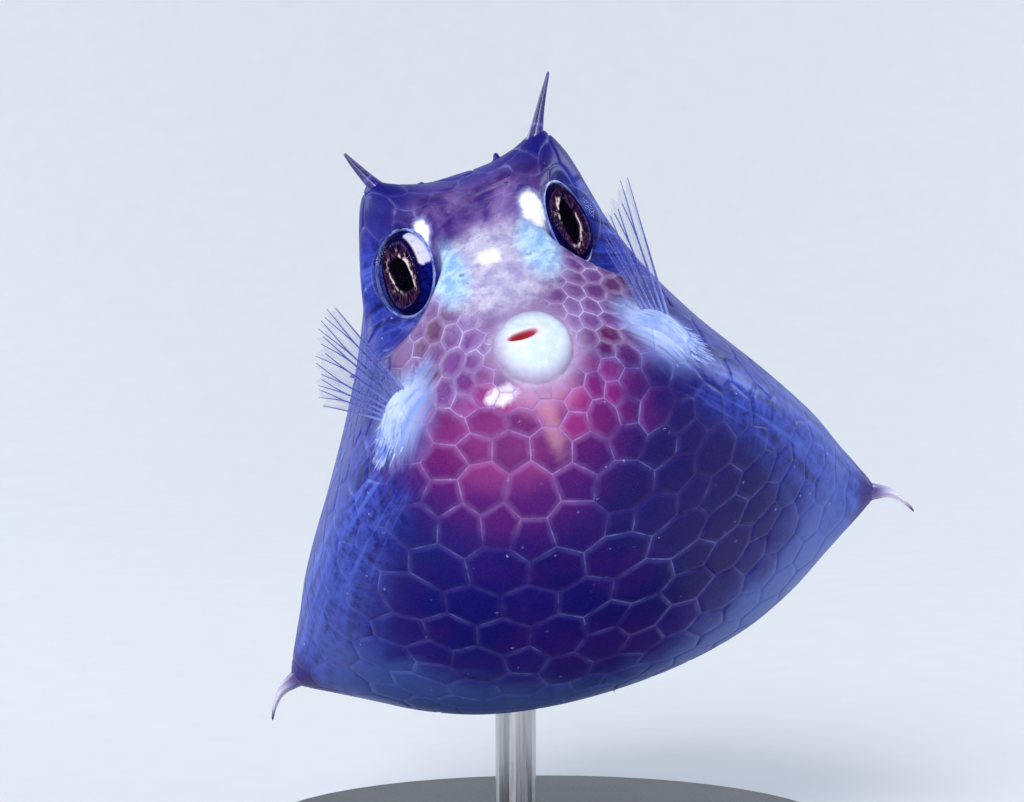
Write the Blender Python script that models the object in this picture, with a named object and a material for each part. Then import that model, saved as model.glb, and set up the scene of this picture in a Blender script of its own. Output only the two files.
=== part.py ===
"""A juvenile thornback cowfish on a plain display stand, life size.

The fish is modelled in its own frame in millimetres: it looks along -Y, its left side is +X
and its back is up. An empty then pitches, rolls and yaws it above the stand, in metres.
"""
import math

import bmesh
import bpy
import numpy as np
from mathutils import Matrix, Vector
from mathutils.bvhtree import BVHTree

MM = 0.001
GAP = 0.3           # clearance between two pieces that touch
CUTTER_REACH = 5.0  # how far the seats' cutters stand out of the shell

# Pose above the stand, degrees, and the height of the fish's own origin above the floor.
PITCH = 36.0        # nose up
ROLL = 20.2         # the fish's left side up
YAW = 4.2
CENTRE = (0.0, 0.0, 25.2)

# Shell stations from mouth to vent: y, belly z, side ridge half width and z, flank half width,
# brow half width and z, crown z.
STATIONS = [
    (-17.5, -4.9, 2.3, -3.7, 2.4, 2.1, -1.7, -0.9),
    (-16.2, -6.5, 4.9, -4.3, 4.3, 3.3, 3.2, 4.2),
    (-14.4, -8.0, 7.4, -4.6, 6.0, 4.2, 8.3, 9.5),
    (-11.8, -9.4, 9.8, -4.7, 7.9, 6.1, 12.7, 13.6),
    (-7.2, -10.9, 12.7, -4.6, 9.3, 6.2, 13.9, 14.9),
    (-1.5, -11.9, 15.2, -4.4, 11.7, 6.8, 13.2, 15.3),
    (4.5, -12.2, 17.0, -4.0, 13.8, 7.6, 12.0, 15.0),
    (9.8, -11.0, 17.3, -3.4, 13.9, 7.6, 10.0, 13.2),
    (14.0, -8.3, 14.8, -2.8, 11.5, 6.6, 7.8, 10.6),
    (16.8, -5.1, 9.4, -1.8, 7.5, 4.9, 5.6, 7.8),
    (18.2, -2.1, 4.4, 0.0, 4.0, 3.0, 3.6, 4.8),
]
MOUTH_POLE = (0.0, -18.0, -3.0)
VENT_POLE = (0.0, 18.6, 1.4)
BELLY_WIDTH = 0.57      # of the ridge's half width, where the belly turns
BELLY_DROP = 0.77       # of the belly's depth there
ROOF_WIDTH = 0.52
ROOF_RISE = 0.72
SPLIT_Y = -7.5          # the cut between head and carapace

# Eyes: centre on the left side, radius, the axis that the orbit faces, how many degrees both
# orbits are turned towards the fish's left, the rim's height, the flat ring's two radii and
# how far behind the eye's centre the flattening reaches.
EYE_CENTRE = (4.35, -12.0, 7.7)
EYE_RADIUS = 2.65
EYE_AXIS = (0.82, -0.53, -0.21)
ORBIT_TURN = 7.0
ORBIT_HEIGHT = 0.75
ORBIT_INNER = 2.9
ORBIT_OUTER = 5.3
ORBIT_BACK = 3.0

# Horns, spines and thorns: root on the left side or the midline, direction, height and radius
# of the flared shell under them, radius of the free part's root, its length, radius of its tip
# and how far it bends from its axis.
HORN = dict(root=(4.4, -12.4, 12.6), axis=(0.45, -0.47, 0.745), flare=1.75, spread=3.8,
            radius=0.5, length=2.5, tip=0.12, bend=(-0.1, 0.1, 0.1))
PELVIC = dict(root=(17.4, 9.0, -3.3), axis=(0.88, 0.47, -0.03), flare=2.0, spread=5.0,
              radius=0.6, length=1.9, tip=0.12, bend=(-0.14, 0.69, -1.03))
BACK_THORN = dict(root=(0.0, 1.5, 15.5), axis=(0.0, 0.45, 0.9), flare=1.2, spread=3.0,
                  radius=0.6, length=2.2, tip=0.12, bend=(0.0, 0.5, 0.0))
RIDGE_THORN = dict(root=(9.2, 3.8, 12.2), axis=(0.7, 0.25, 0.68), flare=0.8, spread=2.4,
                   radius=0.5, length=1.1, tip=0.12, bend=(0.1, 0.15, 0.0))
FLARE_POWER = 2.2       # how hollow the trumpets are
FLARE_BACK = 1.2        # how far behind the root they reach, in spreads
TAPER_POWER = 0.8       # how full the spikes stay towards their tips
SPIKE_STEPS = 6

# Shell plates: their width on the body, face and beside a spine, how fast they grow away from
# a spine, how far they stand up, how wide their sloping border is.
PLATE_BODY = 3.4
PLATE_FACE = 1.35
PLATE_SPINE = 1.9
PLATE_GROWTH = 0.5
PLATE_RAISE = 0.2
PLATE_BORDER = 0.28
PLATE_SMALL = 1.3       # plates under this radius have no border of their own
PLATE_CLEAR = 1.7       # no plate's middle starts nearer to a spine than this
FACE_CENTRE = (0.0, -16.5, 2.0)
FACE_STRETCH = (1.25, 1.0, 1.5)
FACE_REACH = (4.5, 9.0)     # where the small plates of the face end and the large ones begin
SAMPLES = (120, 180)
RELAX_STEPS = 28
SEED = 21

# Lips: centre of the flat back, axis, radius, length and the slit's half sizes.
LIP_BACK = (0.32, -17.0, -3.35)
LIP_AXIS = (0.13, -0.965, -0.22)
LIP_RADIUS = 2.2
LIP_LENGTH = 2.2
SLIT_SIZE = (0.85, 0.24, 0.9)
LIP_PROFILE = [(0, 0), (0.99, 0), (1.04, 0.3), (0.98, 0.6), (0.78, 0.85), (0.45, 0.97), (0, 1)]

NOSTRIL = (2.0, -16.4, 3.6)
NOSTRIL_RADIUS = 0.26
GILL = (6.4, -15.0, -1.2)
GILL_SIZE = (0.2, 0.5, 1.3)

# Pectoral fins: the fleshy pad's place on the left side, radius and height.
PAD_PLACE = (7.7, -13.9, -2.8)
PAD_RADIUS = 2.35
PAD_HEIGHT = 1.3
PAD_SINK = 0.25
PAD_PROFILE = [(0, 0), (1, 0), (0.98, 0.3), (0.85, 0.68), (0.55, 0.92), (0, 1)]

# Pectoral fans: half length of the root, first and last ray's direction, lengths of the
# first, middle and last ray, bend.
FAN_LEFT = dict(root=0.75, first=(-0.28, -0.42, 0.86), last=(0.1, -0.25, 0.96),
                lengths=(5.4, 7.8, 9.6), bend=(0.0, -0.3, 0.0))
FAN_RIGHT = dict(root=1.15, first=(-0.30, -0.10, 0.94), last=(-0.55, 0.40, 0.72),
                 lengths=(8.4, 7.6, 5.6), bend=(-0.2, 0.3, 0.0))
FAN_SEAT = (0.1, 0.3)       # the root line's height up the pad and out of it

# Fins on the midline: place on the shell, half length and depth of the root, rays.
DORSAL = dict(place=(0, 13.0, 11.5), first=(0, 0.35, 0.94), last=(0, 0.96, 0.28),
              lengths=(4.6, 5.0, 3.4), bend=(0, 0.5, -0.1))
ANAL = dict(place=(0, 17.3, -4.0), first=(0, 0.9, -0.38), last=(0, 0.99, 0.1),
            lengths=(3.6, 3.9, 2.8), bend=(0, 0.2, 0.3))
KEEL_HALF = 1.4
KEEL_WIDTH = 0.36
KEEL_DEPTH = 0.4
KEEL_END = 0.1          # how far the fin stops short of its seat's end

# Tail: the peduncle's path and radii, then the fin.
PEDUNCLE = [(0.0, 16.4, 1.4), (0.0, 18.4, 1.9), (0.0, 20.4, 2.6), (0.0, 22.4, 3.4)]
PEDUNCLE_RADII = [2.5, 2.1, 1.6, 1.45]
PEDUNCLE_FLATTEN = 0.72
TAIL_HALF = 1.2
TAIL_FAN = 17.0         # degrees that the outer rays spread either way
TAIL_LENGTHS = (6.6, 7.4, 6.6)

# Stand: a round base and one rod that ends inside the belly.
BASE_RADIUS = 18.0
BASE_THICKNESS = 3.0
BASE_BEVEL = 0.5
ROD_RADIUS = 1.25
ROD_PLACE = (-2.0, 5.0)
ROD_DEPTH = 2.2         # how far the rod reaches into the belly


def catmull(t):
    """Weights of the four points around a span, at t along it."""
    return np.stack([(-t + 2 * t**2 - t**3) / 2, (2 - 5 * t**2 + 3 * t**3) / 2,
                     (t + 4 * t**2 - 3 * t**3) / 2, (t**3 - t**2) / 2], -1)


def section(station):
    """Twelve points round the shell at one station, from the belly over the left side."""
    y, belly, ridge_w, ridge_z, flank_w, brow_w, brow_z, crown = station
    turn = (BELLY_WIDTH * ridge_w, y, ridge_z + (belly - ridge_z) * BELLY_DROP)
    roof = (ROOF_WIDTH * brow_w, y, brow_z + (crown - brow_z) * ROOF_RISE)
    side = [(0.0, y, belly), turn, (ridge_w, y, ridge_z),
            (flank_w, y, (ridge_z + brow_z) / 2), (brow_w, y, brow_z), roof, (0.0, y, crown)]
    return side + [(-x, yy, z) for x, yy, z in side[5:0:-1]]


def cage():
    """The loft's rows of points, with one more row past each pole."""
    rows = [[MOUTH_POLE] * 12] + [section(s) for s in STATIONS] + [[VENT_POLE] * 12]
    grid = np.array(rows)
    before = np.roll(grid[1], 6, axis=0)[None]
    after = np.roll(grid[-2], 6, axis=0)[None]
    return np.concatenate([before, grid, after])


CAGE = cage()


def unit(vector):
    vector = np.asarray(vector, float)
    return vector / np.linalg.norm(vector, axis=-1, keepdims=True)


def smoothstep(low, high, value):
    t = np.clip((value - low) / (high - low), 0.0, 1.0)
    return t * t * (3 - 2 * t)


def mirrored(vector, side):
    return np.asarray(vector, float) * (side, 1, 1)


def loft(heading):
    """Point of the plain shell for each unit vector of a ball with the same poles."""
    spans = len(STATIONS) + 1
    along = np.arccos(np.clip(-heading[..., 1], -1, 1)) / math.pi * spans
    row = np.minimum(along.astype(int), spans - 1)
    across = (np.arctan2(heading[..., 2], heading[..., 0]) + math.pi / 2) / math.pi * 6 % 12
    column = across.astype(int) % 12
    row_w = catmull(along - row)
    column_w = catmull(across - np.floor(across))
    point = np.zeros(heading.shape)
    for i in range(4):
        for j in range(4):
            weight = row_w[..., i] * column_w[..., j]
            point += weight[..., None] * CAGE[row + i, (column + j - 1) % 12]
    return point


def orbit_axis(side):
    """Direction that one orbit faces."""
    across, ahead, up = EYE_AXIS
    turn = math.atan2(across, -ahead) + side * math.radians(ORBIT_TURN)
    reach = math.hypot(across, ahead)
    return unit((side * reach * math.sin(turn), -reach * math.cos(turn), up))


def orbit(point, side):
    """Flattens the face round one eye, so that the eyeball stands out of it."""
    axis = orbit_axis(side)
    offset = point - mirrored(EYE_CENTRE, side)
    height = offset @ axis
    radial = np.linalg.norm(offset - height[..., None] * axis, axis=-1)
    pull = 1 - smoothstep(ORBIT_INNER, ORBIT_OUTER, radial)
    pull = np.where(height > -ORBIT_BACK, pull, 0.0)
    return point - (pull * (height - ORBIT_HEIGHT))[..., None] * axis


def flare(point, spike, side):
    """Draws the shell out into a trumpet under one spike."""
    axis = unit(mirrored(spike["axis"], side))
    offset = point - mirrored(spike["root"], side)
    height = offset @ axis
    radial = np.linalg.norm(offset - height[..., None] * axis, axis=-1)
    rise = np.clip(1 - radial / spike["spread"], 0, 1) ** FLARE_POWER
    rise = np.where(height > -FLARE_BACK * spike["spread"], rise, 0.0)
    return point + (rise * spike["flare"])[..., None] * axis


def spikes():
    """Every spike with its side and node name."""
    yield BACK_THORN, 0, "back_thorn"
    for side, word in ((1, "left"), (-1, "right")):
        yield HORN, side, "horn_" + word
        yield PELVIC, side, "pelvic_spine_" + word
        yield RIDGE_THORN, side, "ridge_thorn_" + word


def shell(heading, flared=True):
    """Point of the finished shell for each unit vector."""
    point = loft(heading)
    for side in (1, -1):
        point = orbit(point, side)
    if flared:
        for spike, side, _ in spikes():
            point = flare(point, spike, side or 1)
    return point


def shell_normal(heading, flared=True):
    """Outward unit normal of the shell at each heading."""
    helper = np.where(np.abs(heading[..., :1]) < 0.7, [[1.0, 0, 0]], [[0, 0, 1.0]])
    first = unit(np.cross(helper, heading))
    second = np.cross(heading, first)
    step = 2e-3
    centre = shell(heading, flared)
    du = shell(unit(heading + step * first), flared) - centre
    dv = shell(unit(heading + step * second), flared) - centre
    return unit(np.cross(du, dv))


def sample_shell():
    """Headings spread over the shell, their points and the area that each stands for."""
    rows, columns = SAMPLES
    polar = (np.arange(rows) + 0.5) / rows * math.pi
    around = np.arange(columns) / columns * 2 * math.pi
    polar, around = (a.ravel() for a in np.meshgrid(polar, around, indexing="ij"))
    ring = np.sin(polar)
    heading = np.stack([ring * np.cos(around), -np.cos(polar), ring * np.sin(around)], -1)
    point = shell(heading, False)
    grid = point.reshape(rows, columns, 3)
    across = np.roll(grid, -1, 1) - np.roll(grid, 1, 1)
    padded = np.concatenate([grid[:1], grid, grid[-1:]])
    along = padded[2:] - padded[:-2]
    area = np.linalg.norm(np.cross(across, along), axis=-1).ravel() / 4
    return heading, point, area


def plate_width(point):
    """Wanted width of a plate at each point of the plain shell."""
    reach = np.linalg.norm((point - FACE_CENTRE) / FACE_STRETCH, axis=-1)
    face = 1 - smoothstep(*FACE_REACH, reach)
    width = PLATE_BODY + (PLATE_FACE - PLATE_BODY) * face
    for spike, side, _ in spikes():
        away = np.linalg.norm(point - mirrored(spike["root"], side or 1), axis=-1)
        width = np.minimum(width, PLATE_SPINE + PLATE_GROWTH * away)
    return width


def nearest_heading(heading, point, target):
    return heading[np.argmin(np.linalg.norm(point - target, axis=-1))]


def seat_spikes():
    """Moves each spike's root onto the plain shell."""
    heading, point, _ = SAMPLED
    for spike in (HORN, PELVIC, BACK_THORN, RIDGE_THORN):
        near = nearest_heading(heading, point, spike["root"])
        if spike is BACK_THORN:
            near = unit(near * (0, 1, 1))
        spike["root"] = tuple(shell(near[None], False)[0])


def plate_seeds():
    """Headings of the plates' middles, relaxed until the plates are even."""
    heading, point, area = SAMPLED
    width = plate_width(point)
    clear = np.all([np.linalg.norm(point - mirrored(s["root"], side or 1), axis=-1) > PLATE_CLEAR
                    for s, side, _ in spikes()], axis=0)
    fixed = np.array([nearest_heading(heading, point, mirrored(s["root"], side or 1))
                      for s, side, _ in spikes()])
    count = int(np.sum(area / (0.866 * width**2)))
    chance = np.where(clear, area / width**2, 0.0)
    rng = np.random.default_rng(SEED)
    start = rng.choice(len(heading), count, replace=False, p=chance / chance.sum())
    seeds = np.concatenate([fixed, heading[start]])
    weight = area / width**4
    for _ in range(RELAX_STEPS):
        middle = shell(seeds, False)
        gap = (middle**2).sum(-1)[None] - 2 * point @ middle.T
        owner = gap.argmin(1)
        total = np.zeros((len(seeds), 3))
        np.add.at(total, owner, heading * weight[:, None])
        moved = np.linalg.norm(total, axis=-1) > 0
        moved[:len(fixed)] = False
        seeds[moved] = unit(total[moved])
    return seeds, len(fixed)


def plate_net(seeds):
    """Triangles between neighbouring plates' middles, as index triples in order."""
    bm = bmesh.new()
    middle = shell(seeds, False)
    outward = unit(middle - (0, 0, 1))
    verts = [bm.verts.new(v) for v in outward]
    bm.verts.index_update()
    bmesh.ops.convex_hull(bm, input=verts)
    bmesh.ops.recalc_face_normals(bm, faces=bm.faces)
    for vert, place in zip(verts, middle):
        vert.co = place
    bmesh.ops.beautify_fill(bm, faces=bm.faces, edges=bm.edges, method="ANGLE")
    return bm, verts


def plates(seeds, fixed):
    """The whole shell as a closed mesh of raised plates."""
    net, net_verts = plate_net(seeds)
    net.faces.ensure_lookup_table()
    net.faces.index_update()
    corner = [unit(sum(seeds[v.index] for v in f.verts)) for f in net.faces]
    corner = np.array(corner)
    corner_point = shell(corner)
    bm = bmesh.new()
    layer = bm.faces.layers.int.new("plate")
    verts = [bm.verts.new(p) for p in corner_point]
    for vert in net_verts:
        ring = []
        loop = start = vert.link_loops[0]
        while True:
            ring.append(verts[loop.face.index])
            loop = loop.link_loop_prev.link_loop_radial_next
            if loop is start:
                break
        face = bm.faces.new(ring)
        face[layer] = vert.index
    net.free()
    bmesh.ops.recalc_face_normals(bm, faces=bm.faces)
    middle = shell(seeds)
    normal = shell_normal(seeds)
    flatten_roots(bm, layer)
    whole = [f for f in bm.faces if f[layer] >= fixed]
    large = [f for f in whole if mean_radius(f) > PLATE_SMALL]
    bmesh.ops.inset_individual(bm, faces=large, thickness=PLATE_BORDER, depth=PLATE_RAISE,
                               use_even_offset=True)
    poked = bmesh.ops.poke(bm, faces=whole)
    for vert in poked["verts"]:
        index = vert.link_faces[0][layer]
        vert.co = middle[index] + PLATE_RAISE * normal[index]
    bmesh.ops.triangulate(bm, faces=bm.faces)
    bmesh.ops.recalc_face_normals(bm, faces=bm.faces)
    return bm


def mean_radius(face):
    middle = face.calc_center_median()
    return sum((v.co - middle).length for v in face.verts) / len(face.verts)


def flatten_roots(bm, layer):
    """Makes the plate under each spike a flat polygon as wide as the spike's root."""
    by_plate = {f[layer]: f for f in bm.faces}
    for index, (spike, side, _) in enumerate(spikes()):
        axis = unit(mirrored(spike["axis"], side or 1))
        top = mirrored(spike["root"], side or 1) + axis * spike["flare"]
        for vert in by_plate[index].verts:
            offset = np.array(vert.co) - top
            radial = unit(offset - (offset @ axis) * axis)
            vert.co = top + radial * spike["radius"]


def work_object(bm, name="work"):
    mesh = bpy.data.meshes.new(name)
    bm.to_mesh(mesh)
    obj = bpy.data.objects.new(name, mesh)
    return obj


def combine(base, others, operation):
    """Boolean of a closed mesh with others; keeps the largest closed surface."""
    scene = bpy.context.scene.collection
    target = work_object(base)
    scene.objects.link(target)
    pieces = bpy.data.collections.new("cutters")
    scene.children.link(pieces)
    for other in others:
        pieces.objects.link(work_object(other, "cutter"))
    modifier = target.modifiers.new("combine", "BOOLEAN")
    modifier.operand_type = "COLLECTION"
    modifier.collection = pieces
    modifier.operation = operation
    graph = bpy.context.evaluated_depsgraph_get()
    mesh = bpy.data.meshes.new_from_object(target.evaluated_get(graph))
    result = bmesh.new()
    result.from_mesh(mesh)
    for obj in [target, *pieces.objects]:
        bpy.data.objects.remove(obj)
    bpy.data.collections.remove(pieces)
    keep_largest(result)
    return result


def islands(bm):
    """Lists of the faces of each connected surface."""
    seen = set()
    found = []
    for face in bm.faces:
        if face in seen:
            continue
        group = [face]
        seen.add(face)
        for item in group:
            for edge in item.edges:
                for other in edge.link_faces:
                    if other not in seen:
                        seen.add(other)
                        group.append(other)
        found.append(group)
    return found


def keep_largest(bm):
    groups = sorted(islands(bm), key=lambda g: sum(f.calc_area() for f in g))
    for group in groups[:-1]:
        bmesh.ops.delete(bm, geom=group, context="FACES")
    bmesh.ops.remove_doubles(bm, verts=bm.verts, dist=1e-4)
    bmesh.ops.triangulate(bm, faces=bm.faces)


def half(bm, y, keep_front):
    """One side of the shell, closed at the plane y."""
    part = bm.copy()
    sign = 1 if keep_front else -1
    geom = list(part.verts) + list(part.edges) + list(part.faces)
    bmesh.ops.bisect_plane(part, geom=geom, dist=1e-5, plane_co=(0, y, 0),
                           plane_no=(0, sign, 0), clear_outer=True)
    edges = [e for e in part.edges if e.is_boundary]
    bmesh.ops.holes_fill(part, edges=edges, sides=0)
    bmesh.ops.triangulate(part, faces=part.faces)
    return part


def frame_on(place, axis, up=(0, 0, 1)):
    """Matrix that puts local Z on the axis and local Y near up, at the place."""
    z = Vector(axis).normalized()
    x = Vector(up).cross(z).normalized()
    y = z.cross(x)
    rotation = Matrix((x, y, z)).transposed().to_4x4()
    return Matrix.Translation(Vector(place)) @ rotation


def ball(radius, matrix, segments=24, rings=14, scale=(1, 1, 1)):
    bm = bmesh.new()
    size = matrix @ Matrix.Diagonal((*scale, 1))
    bmesh.ops.create_uvsphere(bm, u_segments=segments, v_segments=rings, radius=radius,
                              matrix=size)
    return bm


def drum(radius, bottom, top, matrix, segments=24, scale=(1, 1, 1)):
    """Closed cylinder from bottom to top along the matrix's Z."""
    bm = bmesh.new()
    lift = Matrix.Translation((0, 0, (bottom + top) / 2)) @ Matrix.Diagonal((*scale, 1))
    bmesh.ops.create_cone(bm, cap_ends=True, segments=segments, radius1=radius,
                          radius2=radius, depth=top - bottom, matrix=matrix @ lift)
    return bm


def block(half_size, bottom, top, matrix):
    """Closed box from bottom to top along the matrix's Z."""
    bm = bmesh.new()
    lift = Matrix.Translation((0, 0, (bottom + top) / 2))
    size = Matrix.Diagonal((half_size[0] * 2, half_size[1] * 2, top - bottom, 1))
    bmesh.ops.create_cube(bm, size=1, matrix=matrix @ lift @ size)
    return bm


def turned(profile, matrix, segments=20):
    """Closed solid turned from (radius, height) pairs that start and end on the axis."""
    bm = bmesh.new()
    verts = [bm.verts.new((r, 0, z)) for r, z in profile]
    edges = [bm.edges.new(pair) for pair in zip(verts, verts[1:])]
    bmesh.ops.spin(bm, geom=verts + edges, cent=(0, 0, 0), axis=(0, 0, 1),
                   angle=2 * math.pi, steps=segments)
    bmesh.ops.remove_doubles(bm, verts=bm.verts, dist=1e-4)
    bmesh.ops.recalc_face_normals(bm, faces=bm.faces)
    bmesh.ops.transform(bm, matrix=matrix, verts=bm.verts)
    return bm


def tube(points, radii, flatten=1.0, resolution=2):
    """Tapered tube with flat ends, from a curve."""
    curve = bpy.data.curves.new("tube", "CURVE")
    curve.dimensions = "3D"
    curve.bevel_depth = 1.0
    curve.bevel_resolution = resolution
    curve.use_fill_caps = True
    spline = curve.splines.new("POLY")
    spline.points.add(len(points) - 1)
    for item, place, radius in zip(spline.points, points, radii):
        item.co = (*place, 1)
        item.radius = radius
    obj = bpy.data.objects.new("tube", curve)
    bpy.context.scene.collection.objects.link(obj)
    graph = bpy.context.evaluated_depsgraph_get()
    mesh = bpy.data.meshes.new_from_object(obj.evaluated_get(graph))
    bm = bmesh.new()
    bm.from_mesh(mesh)
    bpy.data.objects.remove(obj)
    bmesh.ops.remove_doubles(bm, verts=bm.verts, dist=1e-4)
    bmesh.ops.scale(bm, vec=(flatten, 1, 1), verts=bm.verts)
    bmesh.ops.recalc_face_normals(bm, faces=bm.faces)
    return bm


def spike_mesh(spike, side):
    """The free part of a horn or spine, a gap above its flared root."""
    axis = unit(mirrored(spike["axis"], side or 1))
    bend = mirrored(spike["bend"], side or 1)
    start = mirrored(spike["root"], side or 1) + axis * (spike["flare"] + GAP)
    points = []
    radii = []
    for i in range(SPIKE_STEPS + 1):
        t = i / SPIKE_STEPS
        points.append(start + axis * spike["length"] * t + bend * t * t)
        radii.append(spike["tip"] + (spike["radius"] - spike["tip"])
                     * (1 - t) ** TAPER_POWER)
    return tube(points, radii)


def fin(start, end, first, last, lengths, bend, rays=8, rows=5,
        root_half=0.26, crest=0.1, tip_half=0.14, scallop=0.06):
    """Closed fan of rays: root line, first and last ray's direction, three ray lengths."""
    start, end, bend = (np.asarray(a, float) for a in (start, end, bend))
    first, last = unit(first), unit(last)
    columns = 2 * rays + 1

    def middle(q, t):
        heading = unit(first * (1 - q) + last * q)
        a, b, c = lengths
        length = a * (1 - q) * (1 - 2 * q) + b * 4 * q * (1 - q) + c * q * (2 * q - 1)
        return start + (end - start) * q + heading * length * t + bend * t * t

    bm = bmesh.new()
    top = []
    bottom = []
    for i in range(rows + 1):
        top_row = []
        bottom_row = []
        for k in range(columns):
            q = k / (columns - 1)
            valley = k % 2
            t = i / rows * (1 - scallop * valley * (i == rows))
            point = middle(q, t)
            along = middle(q, t + 0.01) - middle(q, t - 0.01)
            across = middle(min(q + 0.02, 1), t) - middle(max(q - 0.02, 0), t)
            normal = unit(np.cross(along, across))
            thick = root_half + (tip_half - root_half) * smoothstep(0.55, 1.0, t)
            thick += 0 if valley else crest * (1 - 0.6 * t)
            top_row.append(bm.verts.new(point + normal * thick))
            bottom_row.append(bm.verts.new(point - normal * thick))
        top.append(top_row)
        bottom.append(bottom_row)
    for i in range(rows):
        for k in range(columns - 1):
            a, b = top[i][k], top[i][k + 1]
            c, d = top[i + 1][k + 1], top[i + 1][k]
            bm.faces.new((a, b, c))
            bm.faces.new((a, c, d))
            a, b = bottom[i][k], bottom[i][k + 1]
            c, d = bottom[i + 1][k + 1], bottom[i + 1][k]
            bm.faces.new((c, b, a))
            bm.faces.new((d, c, a))
    for k in range(columns - 1):
        bm.faces.new((top[0][k], bottom[0][k], bottom[0][k + 1], top[0][k + 1]))
        bm.faces.new((top[rows][k], top[rows][k + 1], bottom[rows][k + 1], bottom[rows][k]))
    for i in range(rows):
        for k in (0, columns - 1):
            bm.faces.new((top[i][k], top[i + 1][k], bottom[i + 1][k], bottom[i][k]))
    bmesh.ops.triangulate(bm, faces=[f for f in bm.faces if len(f.verts) > 3])
    bmesh.ops.recalc_face_normals(bm, faces=bm.faces)
    return bm


def surface_frame(target):
    """Matrix on the shell nearest the target, with Z along its outward normal."""
    heading, point, _ = SAMPLED
    near = nearest_heading(heading, point, target)
    place = shell(near[None], False)[0]
    normal = shell_normal(near[None], False)[0]
    return frame_on(place, normal)


def material(name, colour, roughness, metallic=0.0):
    mat = bpy.data.materials.new(name)
    mat.use_nodes = True
    shader = mat.node_tree.nodes["Principled BSDF"]
    shader.inputs["Base Color"].default_value = (*colour, 1)
    shader.inputs["Roughness"].default_value = roughness
    shader.inputs["Metallic"].default_value = metallic
    mat.diffuse_color = (*colour, 1)
    return mat


def add_node(name, bm, mat, parent=None, smooth=40):
    """Makes the named object from a mesh in millimetres."""
    bmesh.ops.scale(bm, vec=(MM, MM, MM), verts=bm.verts)
    mesh = bpy.data.meshes.new(name)
    bm.to_mesh(mesh)
    bm.free()
    mesh.shade_smooth()
    mesh.set_sharp_from_angle(angle=math.radians(smooth))
    mesh.materials.append(mat)
    obj = bpy.data.objects.new(name, mesh)
    PARTS.objects.link(obj)
    obj.parent = parent
    return obj


for old in list(bpy.data.objects):
    bpy.data.objects.remove(old)
PARTS = bpy.data.collections.new("thornback_cowfish")
bpy.context.scene.collection.children.link(PARTS)
SAMPLED = sample_shell()
seat_spikes()

fish = bpy.data.objects.new("fish_pose", None)
fish.rotation_mode = "ZXY"
fish.rotation_euler = (math.radians(-PITCH), math.radians(-ROLL), math.radians(YAW))
fish.location = Vector(CENTRE) * MM
PARTS.objects.link(fish)
pose = fish.rotation_euler.to_matrix().to_4x4()
fish_to_stand = Matrix.Translation(CENTRE) @ pose
stand_to_fish = fish_to_stand.inverted()

skin = material("shell_skin", (0.09, 0.06, 0.36), 0.35)
flesh = material("pale_flesh", (0.75, 0.85, 0.95), 0.4)
horn_skin = material("horn_skin", (0.03, 0.02, 0.2), 0.35)
spine_tip = material("spine_tip", (0.45, 0.42, 0.62), 0.35)
eye_glass = material("eye", (0.04, 0.03, 0.15), 0.05)
fin_skin = material("fin_membrane", (0.12, 0.1, 0.42), 0.4)
base_paint = material("stand_base_paint", (0.03, 0.03, 0.035), 0.45)
rod_steel = material("stand_rod_steel", (0.55, 0.56, 0.58), 0.3, 1.0)

seeds, fixed = plate_seeds()
whole = plates(seeds, fixed)

# Head: sockets for the eyes, lips and pectoral pads, with nostrils and gill slits.
lip_frame = frame_on(LIP_BACK, LIP_AXIS)
cutters = [drum(LIP_RADIUS + GAP, -GAP, CUTTER_REACH, lip_frame)]
pads = {}
for side, word in ((1, "left"), (-1, "right")):
    centre = Matrix.Translation(mirrored(EYE_CENTRE, side))
    cutters.append(ball(EYE_RADIUS + GAP, centre))
    pads[word] = surface_frame(mirrored(PAD_PLACE, side))
    cutters.append(drum(PAD_RADIUS + GAP, -PAD_SINK - GAP, CUTTER_REACH, pads[word], 16))
    nostril = surface_frame(mirrored(NOSTRIL, side))
    cutters.append(ball(NOSTRIL_RADIUS, nostril, 8, 6))
    gill = surface_frame(mirrored(GILL, side))
    cutters.append(ball(1, gill, 12, 8, (GILL_SIZE[0], GILL_SIZE[2], GILL_SIZE[1])))
head = combine(half(whole, SPLIT_Y - GAP / 2, True), cutters, "DIFFERENCE")
add_node("head", head, skin, fish)

# Carapace: sockets for the peduncle, the two fins on the midline and the stand's rod.
tail_dir = Vector(PEDUNCLE[1]) - Vector(PEDUNCLE[0])
tail_frame = frame_on(PEDUNCLE[0], tail_dir)
roots = {"dorsal_fin": surface_frame(DORSAL["place"]), "anal_fin": surface_frame(ANAL["place"])}
socket = PEDUNCLE_RADII[0]
cutters = [drum(1, -GAP, CUTTER_REACH, tail_frame, 24,
                (socket * PEDUNCLE_FLATTEN + GAP, socket + GAP, 1))]
for root in roots.values():
    cutters.append(block((KEEL_WIDTH + GAP, KEEL_HALF + 2 * GAP), -KEEL_DEPTH - GAP,
                         CUTTER_REACH, root))
whole_tree = BVHTree.FromBMesh(whole)
foot = stand_to_fish @ Vector((*ROD_PLACE, 0))
upward = stand_to_fish.to_3x3() @ Vector((0, 0, 1))
hit, _, _, rod_reach = whole_tree.ray_cast(foot, upward)
rod_top = rod_reach + ROD_DEPTH
cutters.append(drum(ROD_RADIUS + GAP, 0, rod_top + GAP,
                    stand_to_fish @ Matrix.Translation((*ROD_PLACE, 0)), 20))
carapace = combine(half(whole, SPLIT_Y + GAP / 2, False), cutters, "DIFFERENCE")
add_node("carapace", carapace, skin, fish)
whole.free()

for spike, side, name in spikes():
    colour = spine_tip if spike is PELVIC else horn_skin
    add_node(name, spike_mesh(spike, side), colour, fish)

for side, word in ((1, "left"), (-1, "right")):
    place = Matrix.Translation(mirrored(EYE_CENTRE, side))
    add_node("eye_" + word, ball(EYE_RADIUS, place), eye_glass, fish)

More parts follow.
